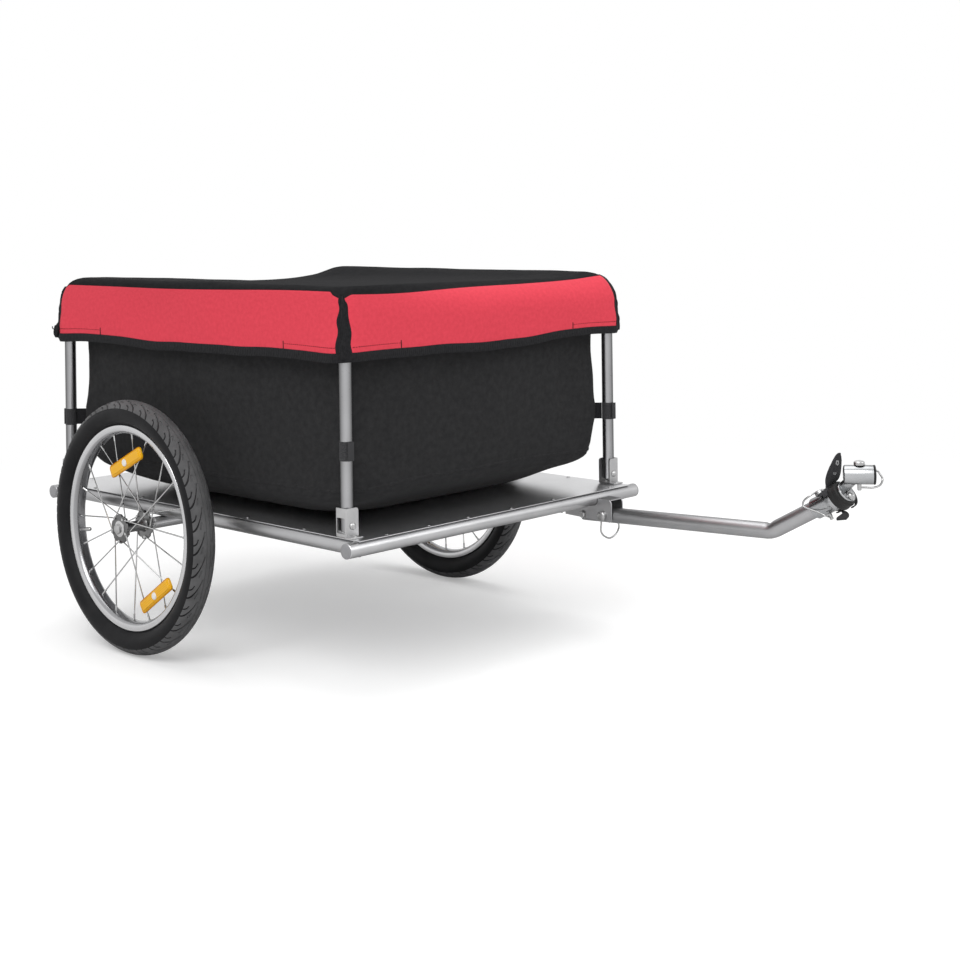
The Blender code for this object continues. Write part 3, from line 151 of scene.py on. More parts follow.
def tidyNormals(piece, merge=0.00002):
    pick(piece)
    editMode()
    bpy.ops.mesh.select_all(action='SELECT')
    bpy.ops.mesh.remove_doubles(threshold=merge)
    bpy.ops.mesh.normals_make_consistent(inside=False)
    objectMode()
    return piece


def joinPieces(name, pieces):
    pick(*pieces)
    if len(pieces) > 1:
        bpy.ops.object.join()
    whole = bpy.context.view_layer.objects.active
    whole.name = name
    return whole


def finishPiece(piece, body, material, replaced=(), angle=35):
    pick(piece)
    if angle:
        bpy.ops.object.shade_smooth_by_angle(angle=math.radians(angle))
    if material:
        piece.data.materials.clear()
        piece.data.materials.append(material)
    if body:
        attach(piece, body)
    if replaced:
        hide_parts(*replaced)
    return piece


def aim(piece, place, direction):
    piece.rotation_euler = zAxis.rotation_difference(Vector(direction)).to_euler()
    piece.location = place
    return settle(piece)


def turnedPiece(name, place, direction, profile, count=48, closed=False):
    # the profile's points are (radius, height); an open profile gets a flat face at each end
    radius, height = profile[0]
    bpy.ops.object.select_all(action='DESELECT')
    bpy.ops.mesh.primitive_circle_add(
        vertices=count, radius=radius, location=(0, 0, height),
        fill_type='NOTHING' if closed else 'NGON')
    piece = settle(newest(name))
    editMode()
    bpy.ops.mesh.select_all(action='SELECT')
    for (r0, h0), (r1, h1) in zip(profile, profile[1:]):
        bpy.ops.mesh.extrude_region_move(TRANSFORM_OT_translate={"value": (0, 0, h1 - h0)})
        scale = max(r1, 0.00001) / max(r0, 0.00001)
        bpy.ops.transform.resize(value=(scale, scale, 1), center_override=(0, 0, h1))
    objectMode()
    if closed:
        points = piece.data.vertices
        for vertex in points:
            vertex.select = vertex.index < count or vertex.index >= len(points) - count
        for edge in piece.data.edges:
            edge.select = all(points[i].select for i in edge.vertices)
        editMode()
        bpy.ops.mesh.select_mode(type='EDGE')
        bpy.ops.mesh.bridge_edge_loops()
        bpy.ops.mesh.select_mode(type='VERT')
        objectMode()
    tidyNormals(piece)
    return aim(piece, place, direction)


def rodPiece(name, start, end, radius, count=24, edge=0.0):
    start, end = Vector(start), Vector(end)
    length = (end - start).length
    if edge:
        profile = [
            (radius - edge, 0), (radius, edge), (radius, length - edge), (radius - edge, length)]
    else:
        profile = [(radius, 0), (radius, length)]
    return turnedPiece(name, start, end - start, profile, count)


def blockPiece(name, size, edge=0.0, segments=2, place=(0, 0, 0)):
    bpy.ops.object.select_all(action='DESELECT')
    bpy.ops.mesh.primitive_cube_add(size=1)
    piece = newest(name)
    piece.scale = size
    bpy.ops.object.transform_apply(scale=True)
    if edge:
        editMode()
        bpy.ops.mesh.select_all(action='SELECT')
        bpy.ops.mesh.bevel(offset=edge, segments=segments, affect='EDGES')
        objectMode()
    piece.location = place
    return settle(piece)


def placeBy(piece, matrix):
    piece.matrix_world = matrix
    return settle(piece)


def smoothRoute(points, perSpan):
    route = []
    points = [Vector(p) for p in points]
    for i in range(len(points) - 1):
        before = points[max(i - 1, 0)]
        here, there = points[i], points[i + 1]
        after = points[min(i + 2, len(points) - 1)]
        for k in range(perSpan):
            t = k / perSpan
            route.append(0.5 * (
                2 * here + (there - before) * t
                + (2 * before - 5 * here + 4 * there - after) * t * t
                + (3 * here - before - 3 * there + after) * t ** 3))
    route.append(points[-1])
    return route


def wirePiece(name, points, radius, resolution=3, cyclic=False):
    bpy.ops.object.select_all(action='DESELECT')
    bpy.ops.curve.primitive_bezier_curve_add()
    curve = newest(name).data
    curve.splines.clear()
    spline = curve.splines.new('POLY')
    spline.points.add(len(points) - 1)
    for slotPoint, point in zip(spline.points, points):
        slotPoint.co = (*point, 1)
    spline.use_cyclic_u = cyclic
    curve.dimensions = '3D'
    curve.twist_mode = 'MINIMUM'
    curve.bevel_depth = radius
    curve.bevel_resolution = resolution
    curve.use_fill_caps = True
    bpy.ops.object.convert(target='MESH')
    return tidyNormals(bpy.context.object)


def bentPath(corners, bend, steps):
    path = [Vector(corners[0])]
    for before, here, after in zip(corners, corners[1:], corners[2:]):
        back = (Vector(before) - Vector(here)).normalized()
        ahead = (Vector(after) - Vector(here)).normalized()
        half = back.angle(ahead) / 2
        trim = bend / math.tan(half)
        centre = Vector(here) + (back + ahead).normalized() * (bend / math.sin(half))
        first = (Vector(here) + back * trim - centre).normalized()
        last = (Vector(here) + ahead * trim - centre).normalized()
        path += [centre + first.slerp(last, i / steps) * bend for i in range(steps + 1)]
    path.append(Vector(corners[-1]))
    return path


def reaches(points, closed=False):
    # the distance covered at each point of a line
    run = [0.0]
    for a, b in zip(points, points[1:] + (points[:1] if closed else [])):
        run.append(run[-1] + (b - a).length)
    return run


def gridPiece(name, rows, mapAt, closed=False, flip=False, capLast=None):
    # a surface through rows of points, woven at mapAt(strip, row, column) in metres
    work = bmesh.new()
    layer = work.loops.layers.uv.new("weave")
    verts = [[work.verts.new(point) for point in row] for row in rows]
    count = len(rows[0])
    for k in range(len(rows) - 1):
        for i in range(count if closed else count - 1):
            marks = [(k, i), (k, i + 1), (k + 1, i + 1), (k + 1, i)]
            if flip:
                marks.reverse()
            face = work.faces.new([verts[row][col % count] for row, col in marks])
            for loop, (row, col) in zip(face.loops, marks):
                loop[layer].uv = mapAt(k, row, col)
    if capLast:
        capLast(work, layer, verts[-1])
    mesh = bpy.data.meshes.new(name)
    work.to_mesh(mesh)
    work.free()
    piece = bpy.data.objects.new(name, mesh)
    bpy.context.collection.objects.link(piece)
    return piece


def flatFace(work, layer, corners):
    # one face, with its map laid flat from above
    for loop in work.faces.new(corners).loops:
        loop[layer].uv = (loop.vert.co.x, loop.vert.co.y)


def clothSurface(name, rows):
    down = reaches([row[0] for row in rows])
    across = [reaches(row) for row in rows]
    return gridPiece(name, rows, lambda k, row, col: (across[k][col], down[row]))


def clothGrid(name, rows, thickness, body, material):
    piece = thicken(clothSurface(name, rows), thickness, 0)
    tidyNormals(piece, 0.000001)
    return finishPiece(piece, body, material, angle=60)


# Shader nodes and groups

def fillInputs(tree, node, **inputs):
    for key, value in inputs.items():
        setSocket(tree, node.inputs[key.replace("_", " ")], value)
    return node


def setSocket(tree, socket, value):
    if isinstance(value, bpy.types.NodeSocket):
        tree.links.new(value, socket)
    else:
        socket.default_value = value


def addNode(tree, kind, settings=None, **inputs):
    made = tree.nodes.new('ShaderNode' + kind)
    for key, value in (settings or {}).items():
        setattr(made, key, value)
    return fillInputs(tree, made, **inputs)


def mathNode(tree, operation, *values, kind='Math'):
    made = addNode(tree, kind, {"operation": operation})
    for socket, value in zip(made.inputs, values):
        setSocket(tree, socket, value)
    return made.outputs["Value"] if operation == 'LENGTH' else made.outputs[0]


def noiseNode(tree, vector, scale, detail, roughness):
    return addNode(tree, 'TexNoise', Vector=vector, Scale=scale, Detail=detail,
                   Roughness=roughness).outputs["Fac"]


def rampNode(tree, value, *stops):
    made = addNode(tree, 'ValToRGB', Fac=value)
    ramp = made.color_ramp
    while len(ramp.elements) < len(stops):
        ramp.elements.new(0.5)
    for element, (position, colour) in zip(ramp.elements, stops):
        element.position = position
        element.color = (*colour, 1)
    return made.outputs["Color"]


def spanNode(tree, value, low, high, curve='LINEAR'):
    made = addNode(tree, 'MapRange', {"interpolation_type": curve}, Value=value)
    return fillInputs(tree, made, From_Min=low, From_Max=high).outputs["Result"]


def multiplied(tree, base, over, factor):
    return addNode(tree, 'Mix', {"data_type": 'RGBA', "blend_type": 'MULTIPLY'},
                   Factor=factor, A=base, B=over).outputs["Result"]


def coordsNode(tree, kind="Object"):
    return addNode(tree, 'TexCoord').outputs[kind]


def newGroup(name, inputs, outputs):
    group = bpy.data.node_groups.new(name, 'ShaderNodeTree')
    group.interface.new_socket("Vector", in_out='INPUT', socket_type='NodeSocketVector')
    for label, value in inputs.items():
        socket = group.interface.new_socket(label, in_out='INPUT', socket_type='NodeSocketFloat')
        socket.default_value = value
    for label in outputs:
        group.interface.new_socket(label, in_out='OUTPUT', socket_type='NodeSocketFloat')
    return group, group.nodes.new('NodeGroupInput').outputs, group.nodes.new('NodeGroupOutput')


def makeClothGroup():
    # woven cloth: crossing threads over slight slubs
    group, given, sink = newGroup(
        "wovenCloth", {"Threads": 900.0, "Mottle": 60.0}, ["Height", "Shade"])
    split = addNode(group, 'SeparateXYZ', Vector=given["Vector"])
    waves = [mathNode(group, 'SINE', mathNode(
        group, 'MULTIPLY', split.outputs[axis], given["Threads"])) for axis in ("X", "Y")]
    fine = noiseNode(group, given["Vector"], given["Mottle"], 3.0, 0.6)
    weave = mathNode(group, 'MULTIPLY', *waves)
    fillInputs(group, sink, Height=mathNode(group, 'MULTIPLY_ADD', weave, 0.35, fine), Shade=fine)
    return group


def makeMetalGroup():
    # handled metal: broad cloudiness and fine scuffs
    group, given, sink = newGroup("handledMetal", {}, ["Cloud", "Streak"])
    fillInputs(group, sink, Cloud=noiseNode(group, given["Vector"], 14.0, 4.0, 0.55),
               Streak=noiseNode(group, given["Vector"], 300.0, 2.0, 0.5))
    return group


def makeGrainGroup():
    # moulded rubber or plastic: fine pebbling, and dust in broad patches
    group, given, sink = newGroup("mouldedGrain", {}, ["Height", "Dust"])
    fillInputs(group, sink, Height=noiseNode(group, given["Vector"], 900.0, 4.0, 0.65),
               Dust=noiseNode(group, given["Vector"], 25.0, 5.0, 0.6))
    return group


clothGroup = makeClothGroup()
metalGroup = makeMetalGroup()
grainGroup = makeGrainGroup()


# Materials

def startMaterial(name, **inputs):
    made = bpy.data.materials.new(name)
    made.use_nodes = True
    tree = made.node_tree
    return made, tree, fillInputs(tree, tree.nodes["Principled BSDF"], **inputs)


def placeGroup(tree, group, vector=None, **values):
    if vector is None:
        vector = coordsNode(tree)
    return addNode(tree, 'Group', {"node_tree": group}, Vector=vector, **values).outputs


def bumpFrom(tree, shader, height, strength, distance):
    bump = addNode(tree, 'Bump', Strength=strength, Distance=distance, Height=height)
    fillInputs(tree, shader, Normal=bump.outputs["Normal"])


def metalSurface(tree, shader, given, colour, roughness, spread, depth):
    rough = mathNode(tree, 'MULTIPLY_ADD', given["Streak"], spread, roughness - spread / 2)
    fillInputs(tree, shader, Base_Color=colour, Roughness=rough)
    bumpFrom(tree, shader, given["Streak"], 0.25, depth)


def metalMaterial(name, dark, light, roughness, spread=0.12, depth=0.00004, turned=0.0, edge=0.5):
    made, tree, shader = startMaterial(name, Metallic=1.0)
    given = placeGroup(tree, metalGroup)
    colour = rampNode(tree, given["Cloud"], (0.3, dark), (0.7, light))
    if turned:
        # painted shade: the colour is darkened where the tube turns away from view, standing in for
        # the dark reflections along its edges
        facing = addNode(tree, 'LayerWeight', Blend=edge).outputs["Facing"]
        paintedEdgeShade = mathNode(tree, 'MULTIPLY', facing, turned)
        colour = multiplied(tree, colour, (0.02, 0.02, 0.02, 1), paintedEdgeShade)
    metalSurface(tree, shader, given, colour, roughness, spread, depth)
    return made


def clothMaterial(name, dark, light, threads, mottle, sheen=0.03, depth=0.0002, gather=0.0,
                  specular=0.12):
    made, tree, shader = startMaterial(
        name, Roughness=0.85, Sheen_Weight=sheen, Sheen_Roughness=0.5, Specular_IOR_Level=specular)
    uv = coordsNode(tree, "UV")
    given = placeGroup(tree, clothGroup, uv, Threads=threads, Mottle=mottle)
    fillInputs(tree, shader, Base_Color=rampNode(tree, given["Shade"], (0.3, dark), (0.7, light)))
    height = given["Height"]
    if gather:
        # small upright gathers, where elastic draws the cloth in
        along = addNode(tree, 'SeparateXYZ', Vector=uv).outputs["X"]
        loose = mathNode(tree, 'MULTIPLY', given["Shade"], 5.0)
        folds = mathNode(tree, 'SINE', mathNode(tree, 'MULTIPLY_ADD', along, gather, loose))
        height = mathNode(tree, 'MULTIPLY_ADD', folds, 1.6, height)
    bumpFrom(tree, shader, height, 0.5, depth)
    return made


def mouldedMaterial(name, dark, light, roughness, specular=0.5, coat=0.0):
    made, tree, shader = startMaterial(
        name, Roughness=roughness, Coat_Weight=coat, Specular_IOR_Level=specular)
    given = placeGroup(tree, grainGroup)
    fillInputs(tree, shader, Base_Color=rampNode(tree, given["Dust"], (0.35, dark), (0.75, light)))
    bumpFrom(tree, shader, given["Height"], 0.4, 0.0001)
    return made


def reflectorMaterial(name):
    # amber acrylic over a grid of small prisms
    made, tree, shader = startMaterial(
        name, Roughness=0.15, Coat_Weight=0.08, Specular_IOR_Level=0.25)
    split = addNode(tree, 'SeparateXYZ', Vector=coordsNode(tree, "UV"))
    cells = [mathNode(tree, 'PINGPONG', mathNode(
        tree, 'MULTIPLY', split.outputs[axis], 330.0), 0.5) for axis in ("X", "Y")]
    prism = mathNode(tree, 'ADD', *cells)
    # painted glint: the amber is lighter and yellower where the prism pattern stands highest
    colour = rampNode(tree, prism, (0.0, (0.70, 0.30, 0.001)), (0.55, (0.84, 0.43, 0.002)),
                      (1.0, (0.92, 0.55, 0.01)))
    fillInputs(tree, shader, Base_Color=colour)
    bumpFrom(tree, shader, prism, 0.3, 0.0006)
    return made


def rimMaterial(name):
    # one polished alloy, lighter on the outer wall and darker in the well towards the hub, told apart
    # by the radius
    made, tree, shader = startMaterial(name, Metallic=1.0)
    place = coordsNode(tree)
    centred = mathNode(tree, 'SUBTRACT', place, (axleX, 0, wheelRadius), kind='VectorMath')
    flat = mathNode(tree, 'MULTIPLY', centred, (1, 0, 1), kind='VectorMath')
    radius = mathNode(tree, 'LENGTH', flat, kind='VectorMath')
    across = spanNode(tree, radius, 0.1495, 0.1640)
    colour = rampNode(tree, across, (0.0, (0.30, 0.30, 0.31)), (0.30, (0.42, 0.42, 0.43)),
                      (0.40, (0.64, 0.64, 0.65)), (1.0, (0.70, 0.70, 0.71)))
    given = placeGroup(tree, metalGroup, place)
    colour = multiplied(tree, colour, given["Cloud"], 0.25)
    metalSurface(tree, shader, given, colour, 0.24, 0.12, 0.00004)
    return made


# turned and edge set the painted edge shade of these metals: how strongly and how widely the colour
# darkens where the surface turns away from view
zincTube = metalMaterial(
    "zincTube", (0.48, 0.48, 0.49), (0.58, 0.58, 0.59), 0.38, turned=0.8)
greyTube = metalMaterial(
    "greyTube", (0.38, 0.38, 0.39), (0.45, 0.45, 0.46), 0.30, turned=1.0, edge=0.72)
railZinc = metalMaterial(
    "railZinc", (0.60, 0.60, 0.61), (0.70, 0.70, 0.71), 0.34, turned=0.8)
deckSteel = metalMaterial(
    "deckSteel", (0.58, 0.58, 0.59), (0.66, 0.66, 0.67), 0.32, spread=0.05, depth=0.000006)
plateSteel = metalMaterial("plateSteel", (0.40, 0.40, 0.41), (0.52, 0.52, 0.52), 0.38)
boltSteel = metalMaterial("boltSteel", (0.38, 0.38, 0.38), (0.50, 0.50, 0.50), 0.30)
wireSteel = metalMaterial(
    "wireSteel", (0.42, 0.42, 0.42), (0.58, 0.58, 0.58), 0.20, turned=0.9)
hitchAlloy = metalMaterial(
    "hitchAlloy", (0.40, 0.41, 0.42), (0.56, 0.57, 0.58), 0.24, turned=0.8)
rimAlloy = rimMaterial("rimAlloy")
spokeSteel = metalMaterial("spokeSteel", (0.48, 0.48, 0.48), (0.62, 0.62, 0.62), 0.24)
hubSteel = metalMaterial("hubSteel", (0.10, 0.10, 0.10), (0.24, 0.24, 0.24), 0.30)
darkSteel = metalMaterial("darkSteel", (0.035, 0.035, 0.035), (0.07, 0.07, 0.07), 0.40)
tyreRubber = mouldedMaterial("tyreRubber", (0.006, 0.006, 0.007), (0.014, 0.014, 0.015), 0.55,
                             specular=0.16)
treadRubber = mouldedMaterial("treadRubber", (0.076, 0.076, 0.078), (0.125, 0.125, 0.128), 0.70,
                              specular=0.2)
flexRubber = mouldedMaterial("flexRubber", (0.012, 0.012, 0.012), (0.022, 0.022, 0.022), 0.55,
                             specular=0.25)
capPlastic = mouldedMaterial("capPlastic", (0.22, 0.22, 0.23), (0.30, 0.30, 0.31), 0.35, coat=0.2)
clipPlastic = mouldedMaterial("clipPlastic", (0.74, 0.73, 0.70), (0.84, 0.83, 0.80), 0.4)
amberPlastic = reflectorMaterial("amberPlastic")
bagCloth = clothMaterial("bagCloth", (0.016, 0.016, 0.017), (0.025, 0.025, 0.026), 2600.0, 90.0)
topCloth = clothMaterial("topCloth", (0.014, 0.014, 0.015), (0.021, 0.021, 0.022), 2600.0, 90.0,
                         sheen=0.0, specular=0.02)
redCloth = clothMaterial(
    "redCloth", (0.66, 0.050, 0.076), (0.73, 0.061, 0.091), 3400.0, 150.0, sheen=0.04)
weltCloth = clothMaterial(
    "weltCloth", (0.015, 0.015, 0.016), (0.025, 0.025, 0.026), 3200.0, 200.0, sheen=0.04)
hemCloth = clothMaterial(
    "hemCloth", (0.010, 0.010, 0.011), (0.018, 0.018, 0.020), 3200.0, 200.0, gather=1500.0)
strapCloth = clothMaterial(
    "strapCloth", (0.026, 0.026, 0.028), (0.062, 0.062, 0.065), 3600.0, 500.0, depth=0.0005)
stitchThread = clothMaterial(
    "stitchThread", (0.16, 0.012, 0.020), (0.24, 0.02, 0.03), 5000.0, 400.0)
darkThread = clothMaterial(
    "darkThread", (0.008, 0.008, 0.008), (0.016, 0.016, 0.016), 5000.0, 400.0)
print("materials ready")


# Wheels, built flat with local Z along the axle, then set on each side

wheel = {
    "carcassHeight": 0.0378, "treadHeight": 0.0018, "treadCount": 34, "steps": 136,
    "rimOuter": 0.1640, "rimInner": 0.1495, "rimHalfWidth": 0.0125,
    "spokeCount": 20, "spokeRadius": 0.00115, "spokeLean": math.radians(52),
    "flangeRadius": 0.0235, "flangeHalfSpacing": 0.0225, "hubHoleRadius": 0.0195,
    "nippleLength": 0.0115, "nippleRadius": 0.0021,
}


def wheelMatrix(side):
    turn = Matrix.Rotation(0 if side == "right" else math.pi, 4, 'Z')
    place = Matrix.Translation((axleX, sides[side] * wheelY, wheelRadius))
    return place @ turn @ Matrix.Rotation(math.pi / 2, 4, 'X')


def arcRow(centre, reach, half, start, end, steps):
    row = []
    for i in range(steps + 1):
        angle = math.radians(start + (end - start) * i / steps)
        row.append((centre + reach * math.cos(angle), half * math.sin(angle)))
    return row


def tyreCarcass():
    reach = wheel["carcassHeight"] / 2
    centre = wheelRadius - wheel["treadHeight"] - reach
    outer = arcRow(centre, reach, 0.0222, 152, -152, 30)
    rib = [(0.1652, -0.0108), (0.1600, -0.0094), (0.1588, -0.0070)]
    inner = arcRow(centre, reach - 0.0035, 0.0190, -148, 148, 14)
    profile = outer + rib + inner + [(r, -h) for r, h in reversed(rib)]
    return turnedPiece("tyreCarcass", (0, 0, 0), zAxis, profile, wheel["steps"], closed=True)


def ringOfCopies(piece, count):
    bpy.ops.object.empty_add(location=(0, 0, 0), rotation=(0, 0, math.tau / count))
    pivot = bpy.context.object
    pick(piece)
    repeat = piece.modifiers.new("round", 'ARRAY')
    repeat.use_relative_offset = False
    repeat.use_object_offset = True
    repeat.offset_object = pivot
    repeat.count = count
    bpy.context.view_layer.update()
    bpy.ops.object.modifier_apply(modifier=repeat.name)
    bpy.data.objects.remove(pivot)
    return piece


def treadPoint(section, turn, lift=0.0):
    # section is the angle round the tyre's section from the crown, turn the angle round the axle
    reach = wheel["carcassHeight"] / 2
    centre = wheelRadius - wheel["treadHeight"] - reach
    high = reach + wheel["treadHeight"] + lift
    radius = centre + high * math.cos(section)
    return Vector((
        radius * math.cos(turn), radius * math.sin(turn), (0.0226 + lift) * math.sin(section)))


def treadGrooves():
    # per pitch and side: a long curved groove, a short kinked one and a dash
    pitch = math.tau / wheel["treadCount"]
    plans = [
        ([(68, 0.02), (58, 0.06), (48, 0.16), (38, 0.32), (28, 0.54), (20, 0.78), (15, 0.98)], 0.0019),
        ([(68, 0.42), (56, 0.47), (48, 0.56), (43, 0.70)], 0.0016),
        ([(32, 0.10), (28, 0.24), (25, 0.38)], 0.0015),
    ]
    tools = []
    for sign in (-1, 1):
        for points, radius in plans:
            route = [treadPoint(
                sign * math.radians(section), sign * (share + (0.5 if sign > 0 else 0)) * pitch)
                for section, share in points]
            tool = wirePiece("treadGroove", smoothRoute(route, 3), radius, 1)
            tools.append(ringOfCopies(tool, wheel["treadCount"]))
    return joinPieces("treadGrooves", tools)


def treadBand():
    reach = wheel["carcassHeight"] / 2
    centre = wheelRadius - wheel["treadHeight"] - reach
    marks = [(64, 0), (60, 0), (55, 0), (50, 0), (45, 0), (40, 0), (35, 0), (30, 0), (25, 0),
             (20, 0), (15, 0), (11, 0), (9.4, 0), (9.0, -0.0009), (7.8, -0.0009), (7.4, 0), (4, 0)]
    half = []
    for degrees, lift in marks:
        section = math.radians(degrees)
        high = reach + wheel["treadHeight"] + lift
        half.append((centre + high * math.cos(section), 0.0226 * math.sin(section)))
    outer = half + [(centre + reach + wheel["treadHeight"], 0)] + [(r, -h) for r, h in reversed(half)]
    inner = arcRow(centre, reach - 0.0012, 0.0210, -64, 64, 14)
    band = turnedPiece("treadBand", (0, 0, 0), zAxis, outer + inner, wheel["steps"], closed=True)
    cutWith(treadGrooves(), band)
    return band


def rimRing():
    outer, inner, wide = wheel["rimOuter"], wheel["rimInner"], wheel["rimHalfWidth"]
    half = [
        (outer, wide * 0.92), (outer + 0.0004, wide * 0.86), (outer, wide * 0.80),
        (outer - 0.0050, wide * 0.78), (outer - 0.0062, wide * 0.55), (outer - 0.0066, 0.0),
    ]
    back = [
        (inner, 0.0), (inner + 0.0004, wide * 0.40), (inner + 0.0014, wide * 0.62),
        (inner + 0.0034, wide * 0.84), (inner + 0.0056, wide * 0.95), (outer - 0.0070, wide),
        (outer - 0.0008, wide * 0.99),
    ]
    profile = half + [(r, -h) for r, h in reversed(half[:-1])]
    profile += [(r, -h) for r, h in reversed(back)] + back[1:]
    return turnedPiece("rimRing", (0, 0, 0), zAxis, profile, 120, closed=True)


def hubBody():
    # dark flanges on a slim barrel, notched between the pairs of spoke holes
    outer = wheel["flangeHalfSpacing"] + 0.0016
    inner = wheel["flangeHalfSpacing"] - 0.0016
    r = wheel["flangeRadius"]
    half = [
        (0.0104, outer + 0.0004), (0.0108, outer), (r - 0.0008, outer), (r, outer - 0.0008),
        (r, inner + 0.0008), (r - 0.0008, inner), (0.0115, inner), (0.0092, inner - 0.004),
        (0.0084, inner - 0.010),
    ]
    profile = [(0.0052, outer + 0.0004)] + half
    profile += [(radius, -height) for radius, height in reversed(profile)]
    hub = turnedPiece("hubBody", (0, 0, 0), zAxis, profile, 60, closed=True)
    first = math.radians(72)
    place = Vector((math.cos(first), math.sin(first), 0)) * (r + 0.0021)
    notch = rodPiece("hubNotch", place - zAxis * 0.03, place + zAxis * 0.03, 0.0044, 16)
    cutWith(ringOfCopies(notch, 10), hub)
    return hub


def hubCones():
    made = []
    outer = wheel["flangeHalfSpacing"] + 0.0016
    for sign in (-1, 1):
        made.append(turnedPiece("hubCone", (0, 0, 0), zAxis * sign, [
            (0.0128, outer - 0.0004), (0.0128, outer + 0.0006), (0.0116, outer + 0.0012),
            (0.0092, outer + 0.0017), (0.0080, 0.0262), (0.0052, 0.0262),
            (0.0052, outer - 0.0004)], 40, closed=True))
    return joinPieces("hubCones", made)


def spokeSet():
    made = []
    rimEnd = wheel["rimInner"] + 0.002
    for i in range(wheel["spokeCount"]):
        atRim = math.tau * i / wheel["spokeCount"]
        flange = 1 if i % 2 == 0 else -1
        lean = wheel["spokeLean"] if (i // 2) % 2 == 0 else -wheel["spokeLean"]
        hole = wheel["hubHoleRadius"]
        face = wheel["flangeHalfSpacing"] + (0.0022 if lean > 0 else -0.0022)
        start = Vector((
            hole * math.cos(atRim + lean), hole * math.sin(atRim + lean), flange * face))
        end = Vector((rimEnd * math.cos(atRim), rimEnd * math.sin(atRim), flange * 0.001))
        run = (end - start).normalized()
        into = Vector((0, 0, -flange if lean > 0 else flange)) * 0.005
        route = [start + into, start + into * 0.15, start + run * 0.003, end - run * 0.002]
        made.append(wirePiece(f"spoke{i}", route, wheel["spokeRadius"], 1))
        head = rodPiece(
            f"spokeHead{i}", start + into, start + into * 1.3, wheel["spokeRadius"] * 2.0, 10)
        nipple = turnedPiece(
            f"nipple{i}", end - run * wheel["nippleLength"], run,
            [(0.0013, 0), (0.0017, 0.0008), (0.0017, 0.007), (wheel["nippleRadius"], 0.0085),
             (wheel["nippleRadius"], wheel["nippleLength"])], 8)
        made += [head, nipple]
    return made


def reflectorParts(node, angle):
    # the piece's own frame: length along X, height along Y, thickness along Z
    low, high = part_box(f"right_{node}")
    centre = Vector(((low.x + high.x) / 2 - axleX, (low.z + high.z) / 2 - wheelRadius, 0))
    centre.z = -(high.y + low.y) / 2 - wheelY
    length, height, depth = 0.094, 0.0205, 0.0065
    lens = blockPiece(node + "Lens", (length, height, depth))
    for edge in lens.data.edges:
        a, b = (lens.data.vertices[i].co for i in edge.vertices)
        edge.select = abs(a.z - b.z) > depth / 2
    editMode()
    bpy.ops.mesh.select_mode(type='EDGE')
    bpy.ops.mesh.bevel(offset=0.0052, segments=3, affect='EDGES')
    bpy.ops.mesh.select_mode(type='VERT')
    objectMode()
    softEdges(lens, 0.0010, 2, 60)
    panel = blockPiece(node + "Panel", (length * 0.38, height * 0.66, 0.0012), 0.0004, 1)
    panels = []
    for sign in (-1, 1):
        copy = copyPiece(panel)
        copy.location = (sign * length * 0.245, 0, depth / 2)
        panels.append(settle(copy))
    bpy.data.objects.remove(panel)
    clip = turnedPiece(node + "Clip", (0, 0, depth / 2 - 0.0002), zAxis, [
        (0.0058, 0), (0.0058, 0.0012), (0.0050, 0.0021), (0.0030, 0.0026)], 28)
    back = blockPiece(
        node + "Back", (0.018, height * 0.7, 0.0045), 0.0008, 1, (0, 0, -depth / 2 - 0.002))
    turn = Matrix.Translation(centre) @ Matrix.Rotation(angle, 4, 'Z')
    amber = placeBy(joinPieces(node + "Amber", [lens] + panels), turn)
    pale = placeBy(joinPieces(node + "Pale", [clip, back]), turn)
    return amber, pale, turn


def flatUV(piece, matrix):
    # a planar map in metres, in the piece's own plane
    inverse = matrix.inverted()
    layer = piece.data.uv_layers[0]
    for loop in piece.data.loops:
        point = inverse @ piece.data.vertices[loop.vertex_index].co
        layer.data[loop.index].uv = (point.x, point.y)


def valveParts():
    angle = math.radians(189)
    out = Vector((math.cos(angle), math.sin(angle), 0))
    start = out * (wheel["rimInner"] + 0.002)
    profile = [
        (0.0040, 0), (0.0040, 0.0015), (0.0027, 0.002), (0.0027, 0.016), (0.0034, 0.0165),
        (0.0034, 0.026), (0.0028, 0.028), (0.0016, 0.029),
    ]
    return turnedPiece("valveStem", start, -out, profile, 16)


def buildWheels():
    rubber = tyreCarcass()
    tread = treadBand()
    rim = rimRing()
    spokes = joinPieces("spokeShape", spokeSet())
    hub = hubBody()
    cones = hubCones()
    valve = valveParts()
    upper = reflectorParts("upper_reflector", math.radians(26))
    lower = reflectorParts("lower_reflector", math.radians(34))
    for amber, pale, turn in (upper, lower):
        flatUV(amber, turn)
    patterns = [
        (rubber, "Tyre", tyreRubber, "tyre_rubber", ["tyre"], 40),
        (tread, "Tread", treadRubber, "tyre_rubber", [], 35),
        (rim, "Rim", rimAlloy, "rim_alloy", ["rim"], 30),
        (spokes, "Spokes", spokeSteel, "spoke_steel", [], 40),
        (hub, "Hub", hubSteel, "spoke_steel", ["spoked_hub"], 30),
        (cones, "HubCones", spokeSteel, "spoke_steel", [], 30),
        (valve, "Valve", boltSteel, "bolt_steel", ["valve"], 30),
        (upper[0], "UpperReflector", amberPlastic, "amber", ["upper_reflector"], 30),
        (upper[1], "UpperClip", clipPlastic, "amber", [], 30),
        (lower[0], "LowerReflector", amberPlastic, "amber", ["lower_reflector"], 30),
        (lower[1], "LowerClip", clipPlastic, "amber", [], 30),
    ]
    for shape, label, material, slotName, nodes, angle in patterns:
        for side in sides:
            copy = copyPiece(shape)
            copy.name = side + label
            placeBy(copy, wheelMatrix(side))
            finishPiece(
                copy, f"{side}_wheel", material, [f"{side}_{n}" for n in nodes], angle)
        bpy.data.objects.remove(shape)


buildWheels()
print("wheels ready")


# Deck frame: rails, caps, axle, deck sheet and its rivets

